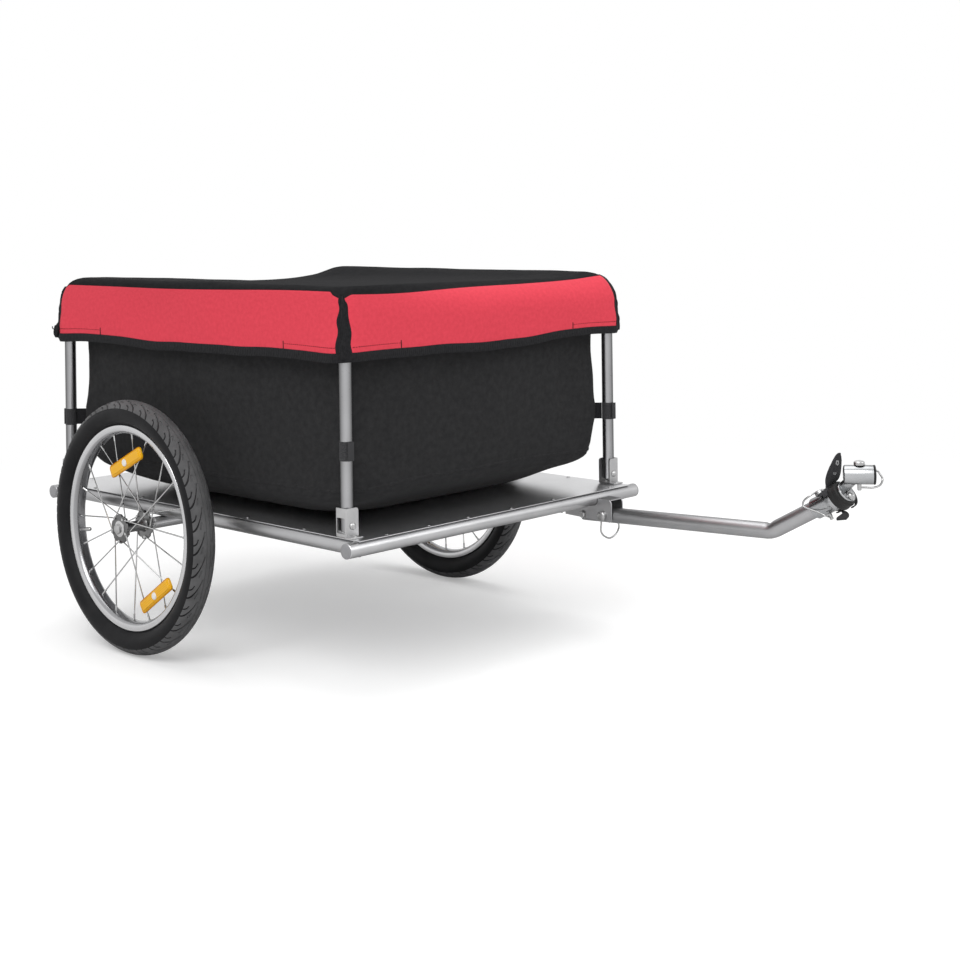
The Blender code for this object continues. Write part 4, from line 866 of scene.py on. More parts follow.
deckFrame = {
    "rivetRadius": 0.0032, "rivetHeight": 0.0013,
    "frontRivets": (-0.248, -0.163, -0.079, 0.018, 0.118, 0.262),
    "sideRivets": (0.090, 0.230, 0.370, 0.510, 0.644, 0.722),
}


def domeRivet(name, place, direction, radius, height):
    profile = [(radius, -0.0003), (radius, height * 0.25), (radius * 0.85, height * 0.62),
               (radius * 0.55, height * 0.9), (radius * 0.2, height)]
    return turnedPiece(name, place, direction, profile, 14)


def hexHead(name, place, direction, radius, height, washer=0.0):
    pieces = [turnedPiece(name, place, direction, [
        (radius * 0.93, 0), (radius, height * 0.12), (radius, height * 0.75),
        (radius * 0.82, height)], 6)]
    if washer:
        pieces.append(turnedPiece(
            name + "Washer", place, -Vector(direction),
            [(washer, 0.0001), (washer, 0.0011)], 28))
    return joinPieces(name, pieces)


def railCap(place, direction):
    radius = railRadius
    profile = [
        (radius * 0.80, -0.009), (radius * 0.80, 0.0003), (radius * 1.0, 0.0005),
        (radius * 1.0, 0.0011), (radius * 0.92, 0.0019), (radius * 0.70, 0.0024),
        (radius * 0.35, 0.00255)]
    return turnedPiece("railCap", place, direction, profile, 32)


def buildDeckFrame():
    half = frontRail["size"].y / 2
    for label, node, x in (("front", "front_rail", frontX), ("rear", "rear_rail", rearX)):
        rail = rodPiece(label + "Rail", (x, -half, railZ), (x, half, railZ), railRadius, 48, 0.0006)
        finishPiece(rail, "chassis", railZinc, [node])
        for side, sign in sides.items():
            cap = railCap((x, sign * half, railZ), yAxis * sign)
            cap.name = f"{label}{side.capitalize()}Cap"
            finishPiece(cap, "chassis", capPlastic, [f"{label}_rail_{side}_cap"])
    for side, sign in sides.items():
        y = sign * abs(sideRail["mid"].y)
        rail = rodPiece(side + "SideRail", (rearX, y, railZ), (frontX, y, railZ), railRadius, 48)
        bead = []
        for x, facing in ((rearX, 1), (frontX, -1)):
            # the weld bead round the end of the side rail, where it meets the cross rail
            route = []
            for i in range(28):
                angle = math.tau * i / 28
                height = railRadius * math.sin(angle)
                reach = math.sqrt(max(railRadius ** 2 - height ** 2, 0.0))
                route.append(Vector((
                    x + facing * (reach + 0.0006), y + (railRadius + 0.0003) * math.cos(angle),
                    railZ + height * 1.03)))
            bead.append(wirePiece("railWeld", route, 0.0013, 2, cyclic=True))
        finishPiece(joinPieces(side + "RailWelds", bead), "chassis", plateSteel)
        finishPiece(rail, "chassis", railZinc, [f"{side}_side_rail"])
    tube = nodeBox("axle_tube")
    axleRadius = tube["size"].z / 2
    axleTube = turnedPiece("axleTube", (axleX, tube["low"].y, wheelRadius), yAxis, [
        (axleRadius - 0.002, 0.0), (axleRadius - 0.0005, 0), (axleRadius, 0.0005),
        (axleRadius, tube["size"].y - 0.0005), (axleRadius - 0.0005, tube["size"].y),
        (axleRadius - 0.002, tube["size"].y)], 40, closed=True)
    finishPiece(axleTube, "chassis", railZinc, ["axle_tube"])
    for side, sign in sides.items():
        axleBox = nodeBox(f"{side}_axle")
        outer = max(abs(axleBox["low"].y), abs(axleBox["high"].y))
        tubeEnd = tube["high"].y
        stub = turnedPiece(side + "Axle", (axleX, 0, wheelRadius), yAxis * sign, [
            (0.0070, tubeEnd - 0.02), (0.0070, tubeEnd + 0.0004), (0.0095, tubeEnd + 0.0006),
            (0.0095, tubeEnd + 0.0038), (0.0082, tubeEnd + 0.0046), (0.0082, tubeEnd + 0.0100),
            (0.0066, tubeEnd + 0.0106), (0.0045, tubeEnd + 0.0128), (0.0045, outer)], 28)
        finishPiece(stub, "chassis", boltSteel, [f"{side}_axle"])
        nutBox = nodeBox(f"{side}_axle_nut")
        near = min(abs(nutBox["low"].y), abs(nutBox["high"].y))
        far = max(abs(nutBox["low"].y), abs(nutBox["high"].y))
        nut = hexHead(
            side + "AxleNut", (axleX, sign * near, wheelRadius), yAxis * sign, 0.0084,
            (far - near) * 0.72)
        dome = turnedPiece("nutDome", (axleX, sign * near, wheelRadius), yAxis * sign, [
            (0.0060, 0.003), (0.0058, 0.0046), (0.0044, 0.0058), (0.0020, 0.0064)], 24)
        finishPiece(
            joinPieces(side + "AxleNut", [nut, dome]), "chassis", boltSteel,
            [f"{side}_axle_nut"])
    buildDeckSheet()


def buildDeckSheet():
    sheet = blockPiece("deckSheet", deck["size"], 0.0004, 2, deck["mid"])
    finishPiece(sheet, "chassis", deckSteel, ["deck_panel"])
    rivets = []
    radius, height = deckFrame["rivetRadius"], deckFrame["rivetHeight"]
    for y in deckFrame["frontRivets"]:
        for x in (frontX, rearX):
            rivets.append(domeRivet("rivet", (x, y, deckTop), zAxis, radius, height))
    for along in deckFrame["sideRivets"]:
        for sign in (-1, 1):
            place = (rearX + along, sign * abs(sideRail["mid"].y), deckTop)
            rivets.append(domeRivet("rivet", place, zAxis, radius, height))
    finishPiece(joinPieces("deckRivets", rivets), "chassis", boltSteel)


buildDeckFrame()
print("deck frame ready")


# Corner brackets: folded sheet channels with a window, a foot and a pivot bolt

bracket = {"edge": 0.0022, "sheet": 0.002, "footLength": 0.010, "corner": 0.0045}


def buildBracket(side, end):
    sign, ahead = sides[side], ends[end]
    cad = nodeBox(f"{side}_{end}_bracket")
    bolt = nodeBox(f"{side}_{end}_pivot_bolt")
    x, pivotZ = bolt["mid"].x, bolt["mid"].z
    webOut = max(abs(cad["low"].y), abs(cad["high"].y))
    webIn = min(abs(cad["low"].y), abs(cad["high"].y))
    halfWide = postRadius + 0.0003 + bracket["sheet"]
    top, bottom = cad["high"].z, cad["low"].z
    middleY = sign * (webOut + webIn) / 2
    channel = blockPiece(
        "channel", (2 * halfWide, webOut - webIn, top - bottom),
        place=(x, middleY, (top + bottom) / 2))
    pick(channel)
    editMode()
    bpy.ops.mesh.select_all(action='DESELECT')
    objectMode()
    # the top and the inward face are open, so that the post can swing in
    for face in channel.data.polygons:
        face.select = face.normal.z > 0.5 or face.normal.y * sign < -0.5
    editMode()
    bpy.ops.mesh.delete(type='FACE')
    objectMode()
    near = 0.0005
    for edge in channel.data.edges:
        a, b = (channel.data.vertices[i].co for i in edge.vertices)
        upright = abs(a.z - b.z) > 0.01 and abs(a.y * sign - webOut) < near
        corner = abs(a.z - b.z) < near and abs(a.z - bottom) < near
        edge.select = upright or (corner and abs(a.x - b.x) < near)
    editMode()
    bpy.ops.mesh.select_mode(type='EDGE')
    bpy.ops.mesh.bevel(offset=bracket["edge"], segments=3, affect='EDGES')
    bpy.ops.mesh.select_mode(type='VERT')
    bpy.ops.mesh.select_all(action='DESELECT')
    objectMode()
    for vertex in channel.data.vertices:
        vertex.select = abs(vertex.co.y * sign - webIn) < near and abs(vertex.co.z - top) < near
    editMode()
    bpy.ops.mesh.bevel(offset=bracket["corner"], segments=4, affect='VERTICES')
    objectMode()
    thicken(channel, bracket["sheet"])
    cutWith(blockPiece(
        "window", (0.0172, 0.012, 0.0225), 0.0018, 3, (x, sign * webOut, pivotZ + 0.0005)), channel)
    footEnd = x + ahead * (halfWide + bracket["footLength"])
    foot = blockPiece(
        "foot", (bracket["footLength"] + 0.004, webOut - webIn, bracket["sheet"]), 0.0007,
        place=((footEnd + x + ahead * (halfWide - 0.004)) / 2, middleY,
               bottom + bracket["sheet"] / 2))
    rivet = domeRivet(
        "footRivet", (x + ahead * (halfWide + 0.0052), middleY, bottom + bracket["sheet"]),
        zAxis, 0.0034, 0.0016)
    whole = joinPieces(f"{side}{end.capitalize()}Bracket", [channel, foot, rivet])
    softEdges(whole, 0.0003, 1, 60)
    finishPiece(whole, "chassis", plateSteel, [f"{side}_{end}_bracket"])
    grip = halfWide + 0.0002
    head = turnedPiece("boltHead", (x + ahead * grip, sign * postY, pivotZ),
                       xAxis * ahead, [
                           (0.0054, 0), (0.0054, 0.0006), (0.0047, 0.0019), (0.0032, 0.0029),
                           (0.0012, 0.0033)], 24)
    nut = hexHead(
        "boltNut", (x - ahead * grip, sign * postY, pivotZ), -xAxis * ahead, 0.0052, 0.0033)
    shank = rodPiece(
        "boltShank", (x - grip, sign * postY, pivotZ), (x + grip, sign * postY, pivotZ), 0.0029)
    finishPiece(
        joinPieces(f"{side}{end.capitalize()}PivotBolt", [head, nut, shank]), "chassis",
        boltSteel, [f"{side}_{end}_pivot_bolt"])


for sideName in sides:
    for endName in ends:
        buildBracket(sideName, endName)
print("brackets ready")


# Folding side frames: posts, top rails and the webbing rings round the posts

sideFrame = {
    "bend": 0.045, "ringHalf": 0.014, "ringSheet": 0.0016,
    "tailEnd": {"front": 0.0245, "rear": 0.0300},
}


def buildSideFrame(side):
    sign = sides[side]
    y = sign * postY
    body = f"{side}_side_frame"
    joint = posts["front"]["high"].z
    for end, ahead in ends.items():
        cad = nodeBox(f"{side}_{end}_post")
        x = cad["mid"].x
        low, high = cad["low"].z, cad["high"].z
        profile = [
            (postRadius - 0.0012, high - low), (postRadius - 0.0004, high - low),
            (postRadius, high - low - 0.0004), (postRadius, 0.0005), (postRadius - 0.0005, 0.0),
            (postRadius - 0.0012, 0.0)]
        tube = turnedPiece(
            f"{side}{end.capitalize()}Post", (x, y, low), zAxis, list(reversed(profile)), 36,
            closed=True)
        finishPiece(tube, body, greyTube, [f"{side}_{end}_post"])
        buildStrap(side, end, x, y, ahead)
    corners = [
        (posts["rear"]["mid"].x, y, joint + 0.0003), (posts["rear"]["mid"].x, y, hoopZ),
        (posts["front"]["mid"].x, y, hoopZ), (posts["front"]["mid"].x, y, joint + 0.0003)]
    hoop = wirePiece(side + "TopRail", bentPath(corners, sideFrame["bend"], 12), postRadius, 7)
    finishPiece(hoop, body, greyTube, [f"{side}_top_rail"])


def buildStrap(side, end, x, y, ahead):
    sign = sides[side]
    name = f"{side}{end.capitalize()}Strap"
    midZ = nodeBox(f"{side}_{end}_strap")["mid"].z
    half = sideFrame["ringHalf"]
    # the band runs once round the post and meets itself on the side towards the bag
    inner = postRadius + 0.0004
    toBag = math.atan2(-sign, -ahead)
    opening = math.radians(2)
    outline = []
    for i in range(41):
        angle = toBag + opening + (math.tau - 2 * opening) * i / 40
        outline.append(Vector((math.cos(angle), math.sin(angle))) * inner)
    rows = [[Vector((x + p.x, y + p.y, midZ + half * (k / 3 - 1))) for p in outline]
            for k in range(7)]
    band = thicken(clothSurface(name, rows), sideFrame["ringSheet"])
    # the overlap seam stands on the outer side of the band
    seamAngle = toBag + math.pi - sign * ahead * math.radians(38)
    seam = blockPiece("seamFlap", (0.0016, 0.0105, 2 * half * 0.98), 0.0006, 2)
    out = inner + sideFrame["ringSheet"] + 0.0006
    seam.location = (x + out * math.cos(seamAngle), y + out * math.sin(seamAngle), midZ)
    seam.rotation_euler = (0, 0, seamAngle)
    settle(seam)
    whole = joinPieces(name, [band, seam])
    finishPiece(whole, f"{side}_side_frame", strapCloth, [f"{side}_{end}_strap"], 40)


for sideName in sides:
    buildSideFrame(sideName)
print("side frames ready")


# Cloth helpers: rings of points, lofted into one shell with a woven map in metres

def roundedRing(lowX, highX, halfWidth, corner, perCorner, perEnd, perSide):
    # starts at the front left corner and goes round by the rear; each entry is
    # (x, y, outward normal, side label, share along that side)
    points = []
    corners = [
        (highX - corner, halfWidth - corner, 0), (lowX + corner, halfWidth - corner, 90),
        (lowX + corner, corner - halfWidth, 180), (highX - corner, corner - halfWidth, 270)]
    runs = ("left", "rear", "right", "front")
    counts = (perSide, perEnd, perSide, perEnd)
    for k, (cx, cy, start) in enumerate(corners):
        for i in range(perCorner + 1):
            angle = math.radians(start + 90 * i / perCorner)
            out = Vector((math.cos(angle), math.sin(angle)))
            points.append((cx + corner * out.x, cy + corner * out.y, out, "corner", i / perCorner))
        nextX, nextY, _ = corners[(k + 1) % 4]
        end = Vector((math.cos(math.radians(start + 90)), math.sin(math.radians(start + 90))))
        a = Vector((cx, cy)) + end * corner
        b = Vector((nextX, nextY)) + end * corner
        for i in range(counts[k]):
            share = (i + 1) / (counts[k] + 1)
            p = a.lerp(b, share)
            points.append((p.x, p.y, end, runs[k], share))
    return points


def loftRings(name, rings, flip=False, capLast=None):
    around = reaches(rings[0], True)
    down = reaches([ring[0] for ring in rings])
    return gridPiece(
        name, rings, lambda k, row, col: (around[col], down[row]), True, flip, capLast)


def ripple(x, y, z, scale, seed=0.0):
    return noise.noise(Vector((x, y, z)) * scale + Vector((seed, seed * 1.7, seed * 2.3)))


# The cargo bag: a lofted cloth tub hung from the top rails, pulled to the posts, laid on the deck

bag = {
    "wall": 0.0016, "rearInset": 0.036, "frontInset": 0.044, "mouthZ": hoopZ - 0.013,
    "mouthHalf": postY - postRadius - 0.0012, "seamZ": 0.300, "edgeZ": 0.284,
    "floor": (0.686, 0.574), "wallHeight": 0.36,
    "strapZ": {end: nodeBox(f"right_{end}_strap")["mid"].z for end in ends},
}


def bagRing(z):
    # how far the ends and the sides draw in at this height, and the corner radius
    table = [
        (bag["mouthZ"], 0.000, 0.000, 0.016), (0.46, 0.003, 0.005, 0.020),
        (0.356, 0.001, 0.006, 0.022), (0.306, 0.002, 0.007, 0.028), (0.292, 0.005, 0.008, 0.035),
        (0.284, 0.012, 0.013, 0.044), (0.277, 0.024, 0.022, 0.054), (0.268, 0.042, 0.034, 0.064),
        (deckTop + 0.020, 0.064, 0.050, 0.072), (deckTop + 0.010, 0.086, 0.068, 0.080),
        (deckTop + 0.0042, 0.108, 0.088, 0.086), (deckTop + 0.0022, 0.130, 0.110, 0.092)]
    for above, below in zip(table, table[1:]):
        if above[0] >= z >= below[0]:
            t = (above[0] - z) / (above[0] - below[0])
            return tuple(a + (b - a) * t for a, b in zip(above[1:], below[1:]))
    return table[-1][1:]


def smoothStep(value):
    t = min(1.0, max(0.0, value))
    return t * t * (3 - 2 * t)


def bagEdgeRise(x, y, z):
    # the bottom edge hangs a little lower along the sides
    lowX, highX = rearX + bag["rearInset"], frontX - bag["frontInset"]
    along = (x - lowX) / (highX - lowX)
    sag = -0.008 - 0.020 * along + 0.023 * along * along
    rise = sag * min(1.0, abs(y) / 0.24) ** 4
    if z > bag["edgeZ"]:
        fade = max(0.0, 1 - (z - bag["edgeZ"]) / 0.116)
    else:
        fade = max(0.0, (z - deckTop - 0.0022) / (bag["edgeZ"] - deckTop - 0.0022))
    return (rise + 0.0012 * ripple(x, y, 0, 20, 2)) * fade


def bagPoint(z, entry, lift=0.0):
    x, y, out, run, share = entry
    slack = math.sin(math.pi * share) if run != "corner" else 0.0
    top = (z - bag["seamZ"]) / (bag["mouthZ"] - bag["seamZ"])
    swell = 0.0
    if 0 < top < 1:
        swell = 0.008 * slack * math.sin(math.pi * top)
        swell += 0.0045 * ripple(x, y, z * 0.5, 9.0) * math.sin(math.pi * top)
        swell += 0.0028 * ripple(x, y, z, 24.0, 4.0) * min(1.0, 3 * (1 - top)) * min(1.0, 4 * top)
    # short upright pleats where the seam takes in the fullness
    along = x if run in ("left", "right") else y
    pleat = math.sin(along * 150 + 3 * ripple(x, y, 0, 8.0))
    swell += 0.0009 * pleat * math.exp(-((z - bag["seamZ"]) / 0.020) ** 2)
    if z < bag["seamZ"]:
        depth = (bag["seamZ"] - z) / (bag["seamZ"] - deckTop)
        swell += 0.0030 * ripple(x, y, z, 14.0, 9.0) * math.sin(math.pi * min(1.0, depth))
    # straps pull the corners towards the posts, and creases fan out from there
    end = "front" if x > rearX + deck["size"].x / 2 else "rear"
    post = Vector((posts[end]["mid"].x, math.copysign(postY, y), 0))
    toPost = Vector((post.x - x, post.y - y, 0))
    rise = z - bag["strapZ"][end]
    away = max(0.0, toPost.length - 0.030)
    pull = 0.0095 * math.exp(-(away / 0.030) ** 2)
    pull *= math.exp(-(rise / (0.075 if rise > 0 else 0.035)) ** 2)
    reach = math.hypot(away, rise)
    fan = math.atan2(rise, away + 0.004)
    crease = 0.0022 * math.sin(8 * fan + 0.6) * math.exp(-(reach / 0.095) ** 2)
    crease *= 1 - math.exp(-(reach / 0.025) ** 2)
    push = swell + crease + lift
    point = Vector((x + out.x * push, y + out.y * push, z + bagEdgeRise(x, y, z)))
    return point + toPost.normalized() * pull


def bagRows():
    zs = [bag["mouthZ"] - i * 0.010 for i in range(int((bag["mouthZ"] - 0.302) / 0.010) + 1)]
    zs += [0.298 - i * 0.004 for i in range(10)]
    zs += [0.256, 0.250, 0.2455, deckTop + 0.0057, deckTop + 0.0042, deckTop + 0.0022]
    return [ringLine(z, 0.0) for z in zs]


def ringLine(z, lift, entryCount=(6, 46, 52)):
    endIn, sideIn, corner = bagRing(z)
    lowX, highX = rearX + bag["rearInset"], frontX - bag["frontInset"]
    ring = roundedRing(
        lowX + endIn, highX - endIn, bag["mouthHalf"] - sideIn, corner, *entryCount)
    return [bagPoint(z, entry, lift) for entry in ring]


def bandRound(name, levels, thickness):
    # a strip of cloth round the bag: each level is (height, how far it stands off)
    rings = [ringLine(z, lift) for z, lift in levels]
    return thicken(loftRings(name, rings), thickness)


def buildBag():
    body = thicken(loftRings("cargoBag", bagRows(), capLast=flatFace), bag["wall"])
    # the welt over the bottom seam, and the hem at the mouth
    welt = bandRound("bagSeamWelt", [
        (bag["seamZ"] + 0.0024, 0.0002), (bag["seamZ"] + 0.0016, 0.0013),
        (bag["seamZ"], 0.0019), (bag["seamZ"] - 0.0016, 0.0013),
        (bag["seamZ"] - 0.0024, 0.0002)], 0.0009)
    hem = bandRound("bagMouthHem", [
        (bag["mouthZ"] + 0.0016, 0.0010), (bag["mouthZ"] - 0.006, 0.0012),
        (bag["mouthZ"] - 0.018, 0.0011)], 0.0009)
    tidy = [finishPiece(body, "chassis", bagCloth, ["cargo_bag"], 60)]
    tidy.append(finishPiece(welt, "chassis", weltCloth, [], 60))
    tidy.append(finishPiece(hem, "chassis", hemCloth, [], 60))
    tails = [bagTail(side, end) for side in sides for end in ends]
    tidy += tails
    for piece in tidy:
        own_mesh(piece)


def bagTail(side, end):
    # a doubled end of webbing from the bag's corner to the ring round the post
    post = Vector((posts[end]["mid"].x, sides[side] * postY, 0))
    inward = Vector((-ends[end], -sides[side], 0)).normalized()
    start = postRadius + 0.0008
    half = sideFrame["ringHalf"] - 0.0006
    rows = []
    for k in range(9):
        z = bag["strapZ"][end] + half * (k / 4 - 1)
        lanes = [start + (sideFrame["tailEnd"][end] - start) * i / 5 for i in range(6)]
        rows.append([post + inward * lane + zAxis * z for lane in lanes])
    return clothGrid(f"bagTail{side.capitalize()}{end.capitalize()}", rows, 0.0026, "chassis",
                     hemCloth)


buildBag()
print("bag ready")


# The cover: red sides over a black top, stretched over the top rails with a black elastic hem

cover = {
    "wall": 0.0010, "hemZ": 0.488, "redLowZ": 0.500, "topZ": hoopZ + postRadius + 0.0013,
    "lowX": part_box("cargo_cover")[0].x, "highX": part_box("cargo_cover")[1].x,
    "half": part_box("cargo_cover")[1].y, "rearSag": 0.0205, "frontSag": 0.006,
    "bendZ": hoopZ - 0.045, "endRound": 0.0605, "sideRound": 0.0155, "corner": 0.021,
    "blackDepth": 0.007, "perCorner": 8, "perEnd": 62, "perSide": 74,
}


def coverSag(x, y):
    # the top sags between the rails, deepest left of the middle
    share = (x - cover["lowX"]) / (cover["highX"] - cover["lowX"])
    depth = cover["rearSag"] + (cover["frontSag"] - cover["rearSag"]) * share
    across = min(1.0, max(0.0, (y + postY) / (2 * postY)))
    marks = (0, 0.09, 0.23, 0.41, 0.61, 0.83, 0.97, 1.0, 0.92, 0.62, 0)
    k = min(9, int(across * 10))
    t = across * 10 - k
    before, after = marks[max(0, k - 1)], marks[min(10, k + 2)]
    low, high = marks[k], marks[k + 1]
    bend = 0.5 * t * (high - before + t * (2 * before - 5 * low + 4 * high - after
                                           + t * (3 * (low - high) + after - before)))
    return depth * max(0.0, low + bend)


def coverWave(x, y, z):
    # soft folds: long ones along the top, short ones hanging in the side bands
    return 0.0016 * ripple(x, y, z, 7.0, 3.0) + 0.0007 * ripple(x, y, z, 22.0, 5.0)


def frontShoulder(y):
    # the front right corner is pulled almost square, the rest follows the rail's bend
    return 0.16 + 0.84 * smoothStep((y + cover["half"]) / (1.1 * cover["half"]))


def cornerBulge(z):
    return 0.0036 * math.exp(-((z - 0.503) / 0.022) ** 2)


def blackDrop(x, y, corner, z):
    # the black top reaches lower towards the rear, at the right corners and along the front
    split = cover["topZ"] - cover["blackDepth"]
    reach = 0.0046 * smoothStep((0.02 - x) / 0.34)
    if y < 0:
        reach += 0.0100 * corner
    if x > cover["highX"] - 0.05:
        reach += 0.0062 * math.exp(-((y + 0.20) / 0.15) ** 2) * (1 - corner)
    if z > split:
        return reach * (cover["topZ"] - z) / cover["blackDepth"]
    return reach * math.exp(-((split - z) / 0.014) ** 2)


def coverRing(z, endIn, sideIn, share, stand=0.0):
    ring = roundedRing(
        cover["lowX"] + endIn, cover["highX"] - endIn, cover["half"] - sideIn, cover["corner"],
        cover["perCorner"], cover["perEnd"], cover["perSide"])
    middleX = (cover["lowX"] + cover["highX"]) / 2
    reachX = (cover["highX"] - cover["lowX"]) / 2 - endIn
    points = []
    for x, y, out, run, along in ring:
        # slide down the surface where the black top reaches lower
        corner = math.sin(math.pi * along) ** 2 if run == "corner" else 0.0
        height = z - blackDrop(x, y, corner, z)
        _, lowerEnd, lowerSide, lowerShare = coverLevel(height)
        towards = min(1.0, max(-1.0, (x - middleX) / reachX))
        across = min(1.0, max(-1.0, y / (cover["half"] - sideIn)))
        x += (endIn - lowerEnd) * towards
        y += (sideIn - lowerSide) * across
        x += lowerEnd * (1 - frontShoulder(y)) * max(0.0, towards)
        height -= min(share, lowerShare) * coverSag(x, y)
        wave = coverWave(x, y, z)
        slack = math.sin(math.pi * along) if run != "corner" else 0.0
        span = 2 * (cover["half"] if run in ("front", "rear") else reachX)
        near = 1.0 if run == "corner" else math.exp(-(min(along, 1 - along) * span / 0.040) ** 2)
        push = stand
        if z < cover["topZ"] - 0.002:
            drop = (cover["topZ"] - z) / (cover["topZ"] - cover["hemZ"])
            fall = ripple(x, y, z * 0.6, 6.0, 12.0)
            push += (1.6 * wave + 0.0050 * fall) * slack * math.sin(math.pi * min(1.0, drop * 1.05))
            push += 0.0010 * ripple(x, y, z, 55.0, 7.0) * slack * drop
            push += cornerBulge(z) * near - 0.0035 * slack * drop
            hemRise = 0.004 * math.cos(math.tau * along) if run != "corner" else 0.004
            height += (hemRise + 0.0035 * ripple(x, y, 0, 11.0, 1.0)) * drop * slack
            height += hemLift(x, y) * drop ** 2 - 0.0018 * near * drop ** 3
        else:
            height += wave * min(1.0, share * 1.4) * 0.8
        points.append(Vector((x + out.x * push, y + out.y * push, height)))
    return points


def hemLift(x, y):
    # the hem rides up at the front left corner, and a little at the near corner
    near = math.exp(-((x - frontX) / 0.045) ** 2 - ((y + postY) / 0.045) ** 2)
    return 0.0075 * smoothStep((y + 0.02) / 0.30) * smoothStep((x + 0.05) / 0.17) + 0.0035 * near


def coverLevel(z):
    # inset at the ends and at the sides, and the share of the sag, at this height
    top, bend = cover["topZ"], cover["bendZ"]
    turn = math.asin(min(1.0, max(0.0, (z - bend) / (top - bend))))
    lean = math.asin(min(1.0, max(0.0, (z - hoopZ) / (top - hoopZ))))
    endIn = cover["endRound"] * (1 - math.cos(turn)) - 0.0006
    sideIn = cover["sideRound"] * (1 - math.cos(lean)) - 0.0006
    return (z, endIn, sideIn, math.sin(turn))


def coverLevels():
    top, bend = cover["topZ"], cover["bendZ"]
    lower = [cover["hemZ"], cover["redLowZ"], 0.512, 0.524, 0.536]
    split = math.degrees(math.asin((top - cover["blackDepth"] - bend) / (top - bend)))
    turns = [10, 20, 30, 40, 50, 56, split, 65, 70, 75, 80, 85, 90]
    upper = [bend + (top - bend) * math.sin(math.radians(turn)) for turn in turns]
    return [coverLevel(z) for z in lower + upper]


def coverTop(work, layer, row):
    # rings drawn in towards a long middle line, then closed by one narrow face
    rows = [row]
    base = [vert.co.copy() for vert in row]
    middleX = (cover["lowX"] + cover["highX"]) / 2
    halfX = (cover["highX"] - cover["lowX"]) / 2
    steps = 26
    for k in range(1, steps + 1):
        t = k / steps
        ring = []
        for point in base:
            reach = halfX - cover["half"]
            spineX = middleX + max(-reach, min(reach, point.x - middleX))
            x = point.x + (spineX - point.x) * t * 0.985
            y = point.y * (1 - 0.985 * t)
            rest = cover["topZ"] - coverSag(x, y) + coverWave(x, y, cover["topZ"]) * 0.8
            blend = min(1.0, t * 4)
            ring.append(work.verts.new((x, y, point.z + (rest - point.z) * blend)))
        rows.append(ring)
    for above, below in zip(rows, rows[1:]):
        count = len(above)
        for i in range(count):
            j = (i + 1) % count
            flatFace(work, layer, (above[i], above[j], below[j], below[i]))
    flatFace(work, layer, rows[-1])


def coverStrip(name, levels, material, thickness, capLast=None):
    # one horizontal band of the cover; levels are (height, insets, share of sag, stand off)
    piece = loftRings(name, [coverRing(*level) for level in levels], True, capLast)
    return finishPiece(thicken(piece, thickness), "cover", material, angle=60)


def buildCover():
    levels = coverLevels()
    split = 11  # the level where the red ends and the black top begins
    redSides = coverStrip("coverRedSides", levels[1:split + 1], redCloth, cover["wall"])
    top = coverStrip("coverTop", levels[split:], topCloth, cover["wall"], coverTop)
    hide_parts("cargo_cover")
    hemZ, redLowZ = cover["hemZ"], cover["redLowZ"]
    hem = coverStrip("coverHem", [
        (*coverLevel(hemZ - 0.0004), -0.0012), (*coverLevel(hemZ - 0.0004), 0.0008),
        (*coverLevel(hemZ + 0.004), 0.0018), (*coverLevel(redLowZ - 0.003), 0.0016),
        (*coverLevel(redLowZ + 0.0006), 0.0007)], hemCloth, 0.0009)
    extras = [cornerSeam(x, y) for x in (-1, 1) for y in (-1, 1)]
    extras += coverStitches() + [cornerBunch()]
    for piece in [redSides, top, hem] + extras:
        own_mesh(piece)


def cornerPoint(alongX, alongY, z, across, lift):
    # a point on the rounded corner: across is metres round the corner, lift metres off it
    corner = cover["corner"]
    angle = math.atan2(alongY, alongX) + across / corner
    turned = 0.5 + across / (corner * math.pi / 2)
    dip = math.sin(math.pi * min(1.0, max(0.0, turned))) ** 2
    edge = cover["highX"] if alongX > 0 else cover["lowX"]
    height = z - blackDrop(edge, alongY, dip, z)
    _, endIn, sideIn, share = coverLevel(height)
    y = alongY * (cover["half"] - sideIn)
    front = endIn * (frontShoulder(y) if alongX > 0 else 1.0)
    reach = corner + lift + cornerBulge(z)
    x = edge - alongX * (front + corner) + reach * math.cos(angle)
    y = y - alongY * corner + reach * math.sin(angle)
    drop = max(0.0, (cover["topZ"] - z) / (cover["topZ"] - cover["hemZ"]))
    height += hemLift(x, y) * drop ** 2 - 0.0018 * drop ** 3
    return Vector((x, y, height - share * coverSag(x, y)))


def cornerSeam(alongX, alongY):
    # the black binding that runs down each corner, a little wavy, from the top to the hem
    rows = []
    count, columns = 60, 12
    low, high = cover["redLowZ"] - 0.008, cover["topZ"] - cover["blackDepth"] + 0.002
    seed = 2.0 * alongX + alongY
    for k in range(count + 1):
        t = k / count
        z = low + (high - low) * t
        half = 0.0042 + 0.0048 * smoothStep((0.95 - t) / 0.5) + 0.0014 * smoothStep((0.35 - t) / 0.35)
        left = half + 0.0012 * math.sin(math.tau * z / 0.034 + seed)
        right = half + 0.0012 * math.sin(math.tau * z / 0.041 + 2 * seed)
        row = []
        for i in range(columns + 1):
            share = 2 * i / columns - 1
            across = share * (right if share > 0 else left)
            ridge = 0.0036 * math.exp(-((share - 0.12 * math.sin(z * 110)) / 0.20) ** 2)
            roll = 0.0009 * math.exp(-((abs(share) - 0.82) / 0.14) ** 2)
            lift = 0.0005 + 0.0006 * math.cos(share * math.pi / 2) + ridge + roll
            lift += 0.0003 * math.sin(z * 260 + 3 * share)
            row.append(cornerPoint(alongX, alongY, z, across, lift))
        rows.append(row)
    return clothGrid(
        f"coverSeam{'Front' if alongX > 0 else 'Rear'}{'Left' if alongY > 0 else 'Right'}", rows,
        0.0012, "cover", hemCloth)


